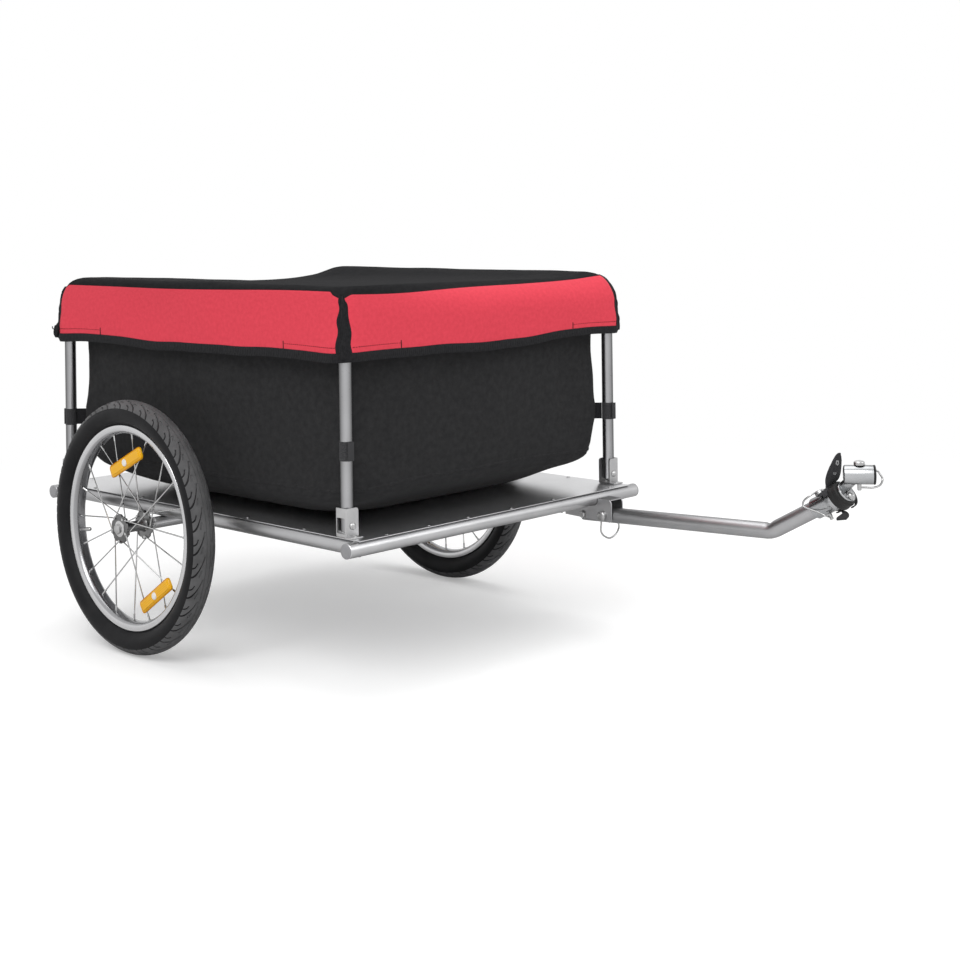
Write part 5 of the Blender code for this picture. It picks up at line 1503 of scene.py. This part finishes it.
def routeStitches(route, material, name):
    # one short thread for every 4.4 mm of the route
    stitches = []
    reach = 0.0
    for a, b in zip(route, route[1:]):
        reach += (b - a).length
        if reach >= 0.0044:
            reach = 0.0
            ahead = (b - a).normalized()
            stitches.append(rodPiece("stitch", b - ahead * 0.0016, b + ahead * 0.0016, 0.00055, 6))
    whole = joinPieces(name, stitches)
    finishPiece(whole, "cover", material, angle=60)
    return whole


def coverStitches():
    # each corner's seam allowance is sewn down beside it, and ends in a short dark bar
    made = []
    z = cover["redLowZ"] + 0.0085
    lanes = {height: coverRing(*coverLevel(height), 0.0008) for height in (z, z + 0.004, z - 0.004)}
    perCorner, perEnd, perSide = cover["perCorner"] + 1, cover["perEnd"], cover["perSide"]
    rearLeft = perCorner + perSide
    rearRight = rearLeft + perCorner + perEnd
    frontRight = rearRight + perCorner + perSide
    total = frontRight + perCorner + perEnd
    plans = [
        (frontRight, -1, 12, "frontRightSide"), (frontRight + perCorner - 1, 1, 10, "frontRightEnd"),
        (rearRight + perCorner - 1, 1, 12, "rearRightSide"), (rearRight, -1, 7, "rearRightEnd"),
        (total, -1, 11, "frontLeftEnd"), (perCorner - 1, 1, 10, "frontLeftSide"),
        (rearLeft, -1, 10, "rearLeftSide"), (rearLeft + perCorner - 1, 1, 7, "rearLeftEnd")]
    for start, way, span, label in plans:
        marks = [(start + way * i) % total for i in range(-2, span + 1)]
        route = smoothRoute([lanes[z][i] for i in marks], 8)
        made.append(routeStitches(route, stitchThread, "coverStitch" + label))
        last = marks[-1]
        bar = smoothRoute([
            lanes[z + 0.004][last], lanes[z][last], lanes[z - 0.004][last],
            lanes[z - 0.004][last] - zAxis * 0.006], 4)
        tack = wirePiece("coverTack" + label, bar, 0.0009, 2)
        made.append(finishPiece(tack, "cover", darkThread, angle=60))
    return made


def cornerBunch():
    # at the rear right corner the elastic is knotted into a small bunch with a wire hook
    foot = cornerPoint(-1, -1, cover["redLowZ"] + 0.004, 0.004, 0.0)
    out = Vector((-0.35, -0.94, 0))
    along = Vector((0.94, -0.35, 0))
    rows = []
    for k in range(13):
        t = k / 12
        size = 0.0018 + 0.0052 * math.sin(math.pi * (0.10 + 0.86 * t)) ** 0.7
        row = []
        for i in range(29):
            angle = math.tau * (i % 28) / 28
            fold = 1 + 0.16 * math.sin(5 * angle + 3 * t) + 0.10 * math.sin(9 * angle - 6 * t)
            place = foot + out * (0.0045 + size * fold * 0.75 * math.cos(angle))
            place = place + along * (size * fold * math.sin(angle) + 0.002 * math.sin(4 * t))
            row.append(place + zAxis * (0.010 - 0.021 * t))
        rows.append(row)
    bunch = clothGrid("coverCornerBunch", rows, 0.0009, "cover", hemCloth)
    start = cornerPoint(-1, -1, cover["redLowZ"] + 0.016, 0.0, 0.0005)
    away = Vector((-0.72, -0.69, 0))
    shape = [(0.0, 0.002), (0.004, 0.001), (0.007, -0.003), (0.008, -0.007), (0.0105, -0.0095),
             (0.0135, -0.008), (0.0140, -0.0045)]
    route = smoothRoute([start + away * a + zAxis * b for a, b in shape], 6)
    hook = wirePiece("coverHook", route, 0.0009, 3)
    finishPiece(hook, "cover", darkSteel, angle=60)
    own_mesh(hook)
    return bunch


buildCover()
print("cover ready")


# The tow arm, its bracket under the front rail, and the lock pin

pivotBox = nodeBox("arm_pivot_bolt")
armY = pivotBox["mid"].y
armPivot = Vector((pivotBox["mid"].x, armY, pivotBox["mid"].z))
arm = {
    "radius": 0.0125, "rise": math.radians(2.5), "run": 0.361, "upperAngle": math.radians(29),
    "upperLength": 0.1185, "bend": 0.045, "rearEnd": 0.0085, "pinSpacing": 0.042,
    "plate": 0.002, "clearance": 0.0008, "wire": 0.00135, "pinRadius": 0.003,
}
alongArm = Vector((math.cos(arm["rise"]), 0, math.sin(arm["rise"])))
alongUpper = Vector((math.cos(arm["upperAngle"]), 0, math.sin(arm["upperAngle"])))
acrossUpper = Vector((-math.sin(arm["upperAngle"]), 0, math.cos(arm["upperAngle"])))
armBend = armPivot + alongArm * (arm["run"] / math.cos(arm["rise"]))
armEnd = armBend + alongUpper * arm["upperLength"]
lockPin = armPivot + alongArm * (arm["pinSpacing"] / math.cos(arm["rise"]))
hitch = {
    "cupOverlap": 0.030, "cupRadius": 0.0158, "flare": 0.0180, "flexFromBend": 0.138,
    "tilt": math.radians(39), "flexRadius": 0.0205, "flexDepth": 0.018, "flangeRadius": 0.0165,
    "neckRadius": 0.0085, "barrelRadius": 0.014, "bore": 0.0105, "barrelLength": 0.045,
    "socketDepth": 0.038, "barrelYaw": math.radians(36),
}
armPin = armBend + alongUpper * (arm["upperLength"] - hitch["cupOverlap"] * 0.4)
flexCentre = armBend + alongUpper * hitch["flexFromBend"]
flexAxis = Vector((math.cos(hitch["tilt"]), 0, math.sin(hitch["tilt"])))
flexUp = Vector((-math.sin(hitch["tilt"]), 0, math.cos(hitch["tilt"])))
barrelCentre = flexCentre + Vector((0.030, 0, 0.034))
barrelAxis = Vector((math.cos(hitch["barrelYaw"]), math.sin(hitch["barrelYaw"]), 0))
barrelSide = Vector((-barrelAxis.y, barrelAxis.x, 0))


def buildArm():
    start = armPivot - alongArm * arm["rearEnd"]
    tube = wirePiece("towArm", bentPath([start, armBend, armEnd], arm["bend"], 18), arm["radius"], 9)
    # the bender leaves a shallow pinch on the inside of the bend
    mean = (arm["rise"] + arm["upperAngle"]) / 2
    ahead = Vector((math.cos(mean), 0, math.sin(mean)))
    inward = Vector((-math.sin(mean), 0, math.cos(mean)))
    for vertex in tube.data.vertices:
        offset = vertex.co - armBend
        height = max(0.0, offset.dot(inward)) / arm["radius"]
        along = offset.dot(ahead)
        dent = 0.0017 * math.exp(-(along / 0.006) ** 2)
        dent -= 0.0006 * math.exp(-((abs(along) - 0.012) / 0.005) ** 2)
        vertex.co -= inward * dent * min(1.0, height) ** 2
    finishPiece(tube, "tow_arm", zincTube, ["tow_arm"])


def platePiece(name, outline, y, thickness):
    # a flat plate in the X-Z plane, from its outline
    bpy.ops.object.select_all(action='DESELECT')
    bpy.ops.mesh.primitive_plane_add()
    piece = bpy.context.object
    piece.name = name
    work = bmesh.new()
    verts = [work.verts.new((x, y, z)) for x, z in outline]
    work.faces.new(verts)
    work.to_mesh(piece.data)
    work.free()
    return tidyNormals(thicken(piece, thickness, 0))


def arcAround(x, z, radius, start, end, steps=6):
    points = []
    for i in range(steps + 1):
        angle = math.radians(start + (end - start) * i / steps)
        points.append((x + radius * math.cos(angle), z + radius * math.sin(angle)))
    return points


def buildArmBracket():
    cad = nodeBox("tow_arm_bracket")
    inner = arm["radius"] + arm["clearance"]
    rear, front = cad["low"].x, cad["high"].x
    top = cad["high"].z
    bottom = railZ - railRadius
    lowRear = armPivot.z - 0.00375
    lowFront = armPivot.z - 0.0075
    behind = frontX - railRadius - 0.002
    slot = arm["pinRadius"] + 0.0006
    rearSeat = 2 * armPivot - lockPin
    outline = arcAround(rear + 0.003, lowRear + 0.003, 0.003, 180, 270)
    for seat in (rearSeat, lockPin):
        sill = lowRear + (lowFront - lowRear) * (seat.x - rear) / (front - rear)
        outline += [(seat.x - slot, sill)]
        outline += arcAround(seat.x, seat.z, slot, 180, 0, 8)
        outline += [(seat.x + slot, sill)]
    outline += arcAround(front - 0.005, lowFront + 0.005, 0.005, 270, 360)
    outline += arcAround(front - 0.008, top - 0.008, 0.008, 0, 90)
    outline += [(frontX + railRadius + 0.0003, top)]
    outline += arcAround(frontX, railZ, railRadius + 0.0003, 0, -180, 14)
    outline += [(behind, railZ), (behind, bottom - 0.001), (rear, lowRear + 0.006)]
    plates = []
    for sign in (-1, 1):
        y = armY + sign * (inner + arm["plate"] / 2)
        plates.append(platePiece("armPlate", outline, y, arm["plate"]))
    bridge = blockPiece(
        "armBridge", (front - frontX - railRadius - 0.003, 2 * inner + 0.001, arm["plate"]),
        place=((front + frontX + railRadius + 0.001) / 2, armY, top - arm["plate"] / 2))
    whole = joinPieces("towArmBracket", plates + [bridge])
    softEdges(whole, 0.0003, 1, 50)
    finishPiece(whole, "chassis", zincTube, ["tow_arm_bracket"])
    grip = inner + arm["plate"] + 0.0002
    head = hexHead("pivotHead", armPivot - yAxis * grip, -yAxis, 0.0062, 0.0044, 0.0068)
    nut = hexHead("pivotNut", armPivot + yAxis * grip, yAxis, 0.0060, 0.0046, 0.0068)
    shank = rodPiece("pivotShank", armPivot - yAxis * grip, armPivot + yAxis * grip, 0.0029)
    finishPiece(
        joinPieces("armPivotBolt", [head, nut, shank]), "chassis", boltSteel,
        ["arm_pivot_bolt"])


def pinPiece(name, centre, direction, grip, tail):
    radius = arm["pinRadius"]
    profile = [
        (radius - 0.0008, -grip - tail), (radius, -grip - tail + 0.001), (radius, grip),
        (0.0080, grip), (0.0080, grip + 0.0038), (0.0074, grip + 0.0049),
        (0.0058, grip + 0.0058), (0.0030, grip + 0.0060)]
    return turnedPiece(name, centre, direction, profile, 32)


def bailPiece(name, centre, along, up, out, shape, body, node):
    points = [centre + along * a + up * b + out * c for a, b, c in shape]
    wire = wirePiece(name, smoothRoute(points, 10), arm["wire"], 3)
    finishPiece(wire, body, wireSteel, [node], 60)
    return wire


def buildLockPin():
    grip = arm["radius"] + arm["clearance"] + arm["plate"] + 0.0003
    pin = pinPiece("lockPin", lockPin, -yAxis, grip, 0.0085)
    finishPiece(pin, "lock_pin", boltSteel, ["lock_pin"])
    near, far = grip + 0.003, -grip - 0.00425
    shape = [
        (0.0, near, 0.0085), (0.0008, near + 0.001, 0.0135), (0.002, near + 0.0032, 0.024),
        (0.003, near * 0.80, 0.0325), (0.003, 0.0, 0.0382), (0.003, -0.0160, 0.0335),
        (0.003, -0.0238, 0.0235), (0.0015, -0.0222, 0.0135), (0.0, far, 0.0085), (0.0, far, 0.0033)]
    bailPiece("lockPinBail", lockPin, xAxis, -yAxis, -zAxis, shape, "lock_pin", "lock_pin_bail")


buildArm()
buildArmBracket()
buildLockPin()
print("tow arm ready")


# The hitch: cup, rubber disc, coupler barrel, pins with wire bails and the safety strap

def cutBeyond(pieces, place, normal):
    # takes away everything beyond the plane through this place
    tool = blockPiece("cutTool", (0.05, 0.08, 0.08))
    tool.rotation_euler = xAxis.rotation_difference(normal).to_euler()
    tool.location = place + normal * 0.025
    cutWith(settle(tool), *pieces)


def buildCup():
    rear = armEnd - alongUpper * hitch["cupOverlap"]
    length = hitch["cupOverlap"] + hitch["flexFromBend"] - arm["upperLength"]
    bore = arm["radius"] + 0.0003
    r, f = hitch["cupRadius"], hitch["flare"]
    profile = [
        (bore, 0.0004), (bore + 0.0006, 0.0), (r - 0.0005, 0.0), (r, 0.0005),
        (r, length - 0.022), (r + 0.0004, length - 0.020), (f - 0.0004, length - 0.0150),
        (f, length - 0.0138), (f, length + 0.008), (bore, length + 0.008)]
    cup = turnedPiece("armEndCup", rear, alongUpper, profile, 48, closed=True)
    plug = rodPiece("cupFloor", armEnd + alongUpper * 0.0004,
                    armEnd + alongUpper * (length + 0.009 - hitch["cupOverlap"]), bore + 0.0006, 48)
    cutBeyond([cup, plug], flexCentre - flexAxis * (hitch["flexDepth"] / 2 + 0.0003), flexAxis)
    # painted shade: the two stake slots are not cut, small dark blocks on the cup stand in for the
    # shade inside them
    slotShades = []
    for offset in (-0.006, 0.001):
        mark = blockPiece("cupSlotShade", (0.0016, 0.0014, 0.0062), 0.0005)
        out = (-acrossUpper * 0.75 - yAxis * 0.66).normalized()
        mark.rotation_euler = zAxis.rotation_difference(alongUpper).to_euler()
        mark.location = armEnd + alongUpper * offset + out * (hitch["cupRadius"] - 0.0004)
        slotShades.append(settle(mark))
    whole = joinPieces("armEndCup", [cup, plug])
    finishPiece(whole, "tow_arm", hitchAlloy, ["arm_end_cup"], 30)
    finishPiece(joinPieces("cupStakeShades", slotShades), "tow_arm", darkSteel)


def buildFlex():
    # two halves of one rubber disc
    half, r = hitch["flexDepth"] / 2, hitch["flexRadius"]
    profile = [
        (r * 0.70, 0.0), (r * 0.975, 0.0), (r * 0.985, 0.0010), (r, half - 0.0040),
        (r * 0.985, half - 0.0020), (r * 0.93, half - 0.0005), (r * 0.80, half), (r * 0.40, half)]
    for name, way in (("flexDiscRear", -1), ("flexDiscFront", 1)):
        disc = turnedPiece(name, flexCentre, flexAxis * way, profile, 64)
        pick(disc)
        bpy.ops.object.shade_smooth_by_angle(angle=math.radians(50))
        disc.data.materials.clear()
        disc.data.materials.append(flexRubber)
        if way < 0:
            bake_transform(disc)
            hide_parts("flex_disc")
        else:
            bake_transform(disc)


def buildCoupler():
    r = hitch["barrelRadius"]
    rear = barrelCentre - barrelAxis * hitch["barrelLength"] / 2
    length = hitch["barrelLength"]
    bore = hitch["bore"]
    depth = hitch["socketDepth"]
    end = length - 0.0026
    profile = [
        (0.004, 0.0), (r - 0.0022, 0.0), (r - 0.0006, 0.0008), (r, 0.0024), (r, end - 0.0004),
        (r - 0.0004, end), (bore + 0.0006, end), (bore, end - 0.0006), (bore, length - depth),
        (0.004, length - depth)]
    barrel = turnedPiece("couplerBarrel", rear, barrelAxis, profile, 56, closed=True)
    core = rodPiece("couplerCore", rear + barrelAxis * 0.0002,
                    rear + barrelAxis * (length - depth - 0.0002), 0.0046, 32)
    face = flexCentre + flexAxis * (hitch["flexDepth"] / 2 + 0.0003)
    flange = turnedPiece("couplerFlange", face, flexAxis, [
        (hitch["flangeRadius"] - 0.0004, 0), (hitch["flangeRadius"], 0.0004),
        (hitch["flangeRadius"], 0.0024), (hitch["flangeRadius"] - 0.0006, 0.003)], 48)
    neckStart = face - flexAxis * 0.003 + flexUp * 0.0065
    neckEnd = barrelCentre - barrelAxis * length * 0.25 - zAxis * r * 0.55
    neck = rodPiece("couplerNeck", neckStart, neckEnd, hitch["neckRadius"], 36)
    cutBeyond([neck], face + flexAxis * 0.0005, -flexAxis)
    whole = joinPieces("couplerBarrel", [barrel, core, flange, neck])
    finishPiece(whole, "coupler", hitchAlloy, ["coupler_barrel"], 30)
    foot = face - flexAxis * 0.0003 - flexUp * 0.0085
    nut = turnedPiece("couplerNut", foot, flexAxis, [
        (0.0070, 0.0035), (0.0070, 0.0046), (0.0060, 0.0048), (0.0058, 0.0062),
        (0.0050, 0.0078), (0.0034, 0.0090), (0.0014, 0.0095)], 32)
    finishPiece(nut, "coupler", boltSteel, ["coupler_bolt"])
    liner = turnedPiece("socketLiner", rear + barrelAxis * length, barrelAxis, [
        (bore - 0.0008, -0.030), (bore - 0.0002, -0.030), (bore - 0.0002, -0.0024),
        (r - 0.0004, -0.0024), (r + 0.0003, -0.0018), (r + 0.0004, -0.0008), (r - 0.0002, 0.0002),
        (r - 0.0012, 0.0006), (bore + 0.0008, 0.0006), (bore - 0.0004, 0.0001),
        (bore - 0.0008, -0.0008)], 48, closed=True)
    finishPiece(liner, "coupler", flexRubber)


def buildHitchPins():
    grip = hitch["cupRadius"] + 0.0003
    pin = pinPiece("armPin", armPin, acrossUpper, grip, 0.0085)
    finishPiece(pin, "arm_pin", boltSteel, ["arm_pin"])
    clear = hitch["cupRadius"] + arm["wire"] + 0.0012
    high, low = grip + 0.003, -grip - 0.00425
    shape = [
        (0.0, high, 0.0085), (-0.002, high + 0.0005, 0.0130), (-0.0085, 0.0180, clear),
        (-0.018, 0.0165, clear), (-0.0240, 0.0120, clear), (-0.0225, 0.0065, clear),
        (-0.014, -0.001, clear), (-0.004, -0.0095, clear), (0.003, -0.0165, clear),
        (0.004, low, 0.0110), (0.0, low, 0.0033)]
    bailPiece("armPinBail", armPin, alongUpper, acrossUpper, -yAxis, shape, "arm_pin",
              "arm_pin_bail")
    grip = hitch["barrelRadius"] + 0.0003
    pin = pinPiece("hitchPin", barrelCentre, zAxis, grip, 0.0085)
    finishPiece(pin, "hitch_pin", boltSteel, ["hitch_pin"])
    side = hitch["barrelRadius"] + arm["wire"] + 0.0015
    high, low = grip + 0.003, -grip - 0.00425
    face = hitch["barrelLength"] / 2
    reach = 0.0330
    shape = [
        (0.0, high, 0.0085), (0.003, high, 0.0145), (face * 0.6, high * 0.5, side + 0.001),
        (face + 0.004, high * 0.2, side), (reach - 0.003, 0.0, side * 0.5),
        (reach, low * 0.35, 0.0), (reach - 0.004, low * 0.80, -0.001),
        (face * 0.85, low, -0.001), (0.0093, low, 0.0), (0.0033, low, 0.0)]
    bailPiece("hitchPinBail", barrelCentre, barrelAxis, zAxis, barrelSide, shape, "hitch_pin",
              "hitch_pin_bail")


safetyStrap = {"width": 0.024, "sheet": 0.0015, "rise": 0.052, "drop": 0.014, "along": 0.1245,
               "twist": math.radians(30)}


def leafRow(top, t, columns=10):
    # the leaf leans forwards and turns its face, bulges below the middle and ends round
    table = [
        (0.0, 0.0010, 0.0080), (0.13, 0.0040, 0.0100), (0.26, 0.0068, 0.0106), (0.43, 0.0098, 0.0106),
        (0.60, 0.0124, 0.0096), (0.78, 0.0152, 0.0074), (0.90, 0.0168, 0.0048), (0.96, 0.0174, 0.0030),
        (1.0, 0.0198, 0.0010)]
    for below, above in zip(table, table[1:]):
        if below[0] <= t <= above[0]:
            share = (t - below[0]) / (above[0] - below[0])
            lean, half = (a + (b - a) * share for a, b in zip(below[1:], above[1:]))
            break
    turn = safetyStrap["twist"] * smoothStep(t / 0.3)
    across = Vector((math.sin(turn), math.cos(turn), 0))
    facing = Vector((across.y, -across.x, 0))
    middle = top + Vector((lean, 0, safetyStrap["rise"] * t))
    row = []
    for k in range(columns + 1):
        share = 2 * k / columns - 1
        cup = 0.0016 * share * share + 0.0006 * math.sin(9 * t + 2 * share)
        row.append(middle + across * half * share - facing * cup)
    return row, middle, facing


def buildSafetyStrap():
    centre = armBend + alongUpper * safetyStrap["along"]
    r = hitch["flare"] + 0.0006 + safetyStrap["sheet"] / 2
    # the band goes round the far side of the cup, and its end lies back towards the pin
    rows = []
    for i in range(41):
        angle = math.radians(158 - 262 * i / 40)
        out = acrossUpper * math.sin(angle) + yAxis * math.cos(angle)
        rows.append([centre + out * r + alongUpper * 0.0042 * k for k in (-1, -0.5, 0, 0.5, 1)])
    collar = clothGrid("strapCollar", rows, safetyStrap["sheet"], "tow_arm", strapCloth)
    top = centre + acrossUpper * r
    leaf = [leafRow(top, i / 36)[0] for i in range(37)]
    upper = clothGrid(
        "strapUpperLeaf", leaf, safetyStrap["sheet"] * 1.5, "tow_arm", strapCloth)
    back = []
    for i in range(13):
        t = i / 12
        angle = math.radians(128 + 8 * t)
        out = acrossUpper * math.sin(angle) + yAxis * math.cos(angle)
        lane = alongUpper * (0.002 - 0.0155 * t) + out * (r - 0.0015 * t)
        side = (acrossUpper * math.cos(angle) - yAxis * math.sin(angle)) * (0.0052 - 0.0022 * t)
        back.append([centre + lane + side * k + alongUpper * 0.002 * k for k in (-1, -0.5, 0, 0.5, 1)])
    end = clothGrid("strapBackEnd", back, safetyStrap["sheet"], "tow_arm", strapCloth)
    # below the cup the band's folded end spreads out
    bottom = centre - acrossUpper * (r - 0.002)
    across = Vector((math.sin(0.5), math.cos(0.5), 0))
    tail = []
    for i in range(15):
        t = i / 14
        half = 0.0022 + 0.0072 * smoothStep(t / 0.75) - 0.0016 * smoothStep((t - 0.8) / 0.2)
        lean = 0.0095 * smoothStep(t / 0.30) - 0.0065 * smoothStep((t - 0.3) / 0.7)
        middle = bottom + Vector((lean, 0, 0.002 - (safetyStrap["drop"] + 0.002) * t))
        tail.append([middle + across * half * k / 3 for k in range(-3, 4)])
    lower = clothGrid(
        "strapLowerLeaf", tail, safetyStrap["sheet"], "tow_arm", strapCloth)
    loop = []
    for i in range(31):
        angle = math.radians(38 - 132 * i / 30)
        out = flexUp * math.sin(angle) + yAxis * math.cos(angle)
        lift = hitch["flexRadius"] + 0.0021 + 0.0008 * math.sin(math.pi * i / 30)
        loop.append([flexCentre + out * lift + flexAxis * (0.0055 + 0.0012 * k) for k in range(-2, 3)])
    turn = clothGrid("strapFarTurn", loop, safetyStrap["sheet"], None, strapCloth)
    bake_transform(turn)
    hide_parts("safety_strap")
    eyelets = []
    for t, tall in ((0.72, 1.5), (0.42, 1.0)):
        _, middle, facing = leafRow(top, t)
        ring = turnedPiece("strapEyelet", (0, 0, 0), xAxis, [
            (0.0010, -0.0019), (0.0026, -0.0019), (0.0029, -0.0012), (0.0029, 0.0012),
            (0.0026, 0.0019), (0.0010, 0.0019)], 24, closed=True)
        ring.scale = (1, 1, tall)
        ring.rotation_euler = xAxis.rotation_difference(facing).to_euler()
        ring.location = middle
        eyelets.append(settle(ring))
    finishPiece(joinPieces("strapEyelets", eyelets), "tow_arm", plateSteel)


buildCup()
buildFlex()
buildCoupler()
buildHitchPins()
buildSafetyStrap()
print("hitch ready")


# Studio: a pale floor that keeps the shadow, a white backdrop for the camera, soft lamps

studio = {
    "floorSize": 60.0, "floorShade": 0.80, "floorLift": 0.30, "worldShade": 0.55,
    "camera": (rearX + 2.4661, -1.8244, 0.6992), "yaw": math.radians(133.672),
    "roll": math.radians(-0.73), "focal": 1600.55, "principal": (480.0, 213.0), "image": 960.0,
    "whiteFrom": 1.3, "whiteTo": 2.4,
}


def makeFloor():
    bpy.ops.object.select_all(action='DESELECT')
    bpy.ops.mesh.primitive_plane_add(size=studio["floorSize"])
    floor = bpy.context.object
    floor.name = "studioFloor"
    made, tree, shader = startMaterial("studioFloor")
    path = addNode(tree, 'LightPath').outputs
    shade = studio["floorShade"]
    lift = mathNode(tree, 'MULTIPLY', path["Is Camera Ray"], studio["floorLift"])
    fillInputs(tree, shader, Base_Color=(shade, shade, shade, 1), Roughness=0.9,
               Specular_IOR_Level=0.0, Emission_Color=(1, 1, 1, 1), Emission_Strength=lift)
    # away from the trailer the floor fades into the white backdrop
    reach = mathNode(tree, 'LENGTH', coordsNode(tree), kind='VectorMath')
    far = spanNode(tree, reach, studio["whiteFrom"], studio["whiteTo"], 'SMOOTHSTEP')
    seen = mathNode(tree, 'MAXIMUM', path["Is Camera Ray"], path["Is Glossy Ray"])
    white = addNode(tree, 'Emission')
    mix = addNode(tree, 'MixShader', Fac=mathNode(tree, 'MULTIPLY', far, seen))
    tree.links.new(shader.outputs[0], mix.inputs[1])
    tree.links.new(white.outputs[0], mix.inputs[2])
    tree.links.new(mix.outputs[0], tree.nodes["Material Output"].inputs["Surface"])
    floor.data.materials.append(made)
    return floor


def makeWorld():
    world = bpy.data.worlds.new("studioWorld")
    bpy.context.scene.world = world
    world.use_nodes = True
    tree = world.node_tree
    path = addNode(tree, 'LightPath').outputs
    seen = mathNode(tree, 'MAXIMUM', path["Is Camera Ray"], path["Is Glossy Ray"])
    seen = mathNode(tree, 'MAXIMUM', seen, path["Is Transmission Ray"])
    strength = mathNode(
        tree, 'MULTIPLY_ADD', seen, 1.0 - studio["worldShade"], studio["worldShade"])
    fillInputs(tree, tree.nodes["Background"], Color=(1, 1, 1, 1), Strength=strength)


def areaLamp(name, place, target, size, watts):
    bpy.ops.object.light_add(type='AREA', location=place)
    lamp = bpy.context.object
    lamp.name = name
    lamp.data.shape = 'RECTANGLE'
    lamp.data.size, lamp.data.size_y = size
    lamp.data.energy = watts
    direction = Vector(target) - Vector(place)
    lamp.rotation_euler = direction.to_track_quat('-Z', 'Y').to_euler()
    return lamp


def makeCamera():
    yaw, roll = studio["yaw"], studio["roll"]
    ahead = Vector((math.cos(yaw), math.sin(yaw), 0))
    right = Vector((math.sin(yaw), -math.cos(yaw), 0))
    side = right * math.cos(roll) + zAxis * math.sin(roll)
    up = zAxis * math.cos(roll) - right * math.sin(roll)
    data = bpy.data.cameras.new("studioCamera")
    camera = bpy.data.objects.new("studioCamera", data)
    bpy.context.scene.collection.objects.link(camera)
    turn = Matrix((side, up, -ahead)).transposed().to_4x4()
    camera.matrix_world = Matrix.Translation(studio["camera"]) @ turn
    data.sensor_width = 36.0
    data.lens = studio["focal"] * 36.0 / studio["image"]
    middle = studio["image"] / 2
    data.shift_x = (middle - studio["principal"][0]) / studio["image"]
    data.shift_y = (studio["principal"][1] - middle) / studio["image"]
    data.clip_end = 100.0
    bpy.context.scene.camera = camera


makeFloor()
makeWorld()
areaLamp("keyLamp", (1.2, -2.6, 3.0), (-0.1, 0, 0.3), (2.6, 2.0), 70)
areaLamp("fillLamp", (2.8, 1.4, 2.2), (-0.1, 0, 0.3), (2.4, 1.8), 28)
areaLamp("topLamp", (-0.6, 0.3, 3.4), (-0.2, 0, 0.2), (3.0, 2.4), 44)
makeCamera()
scene = bpy.context.scene
scene.view_settings.view_transform = 'Standard'
print("studio ready")
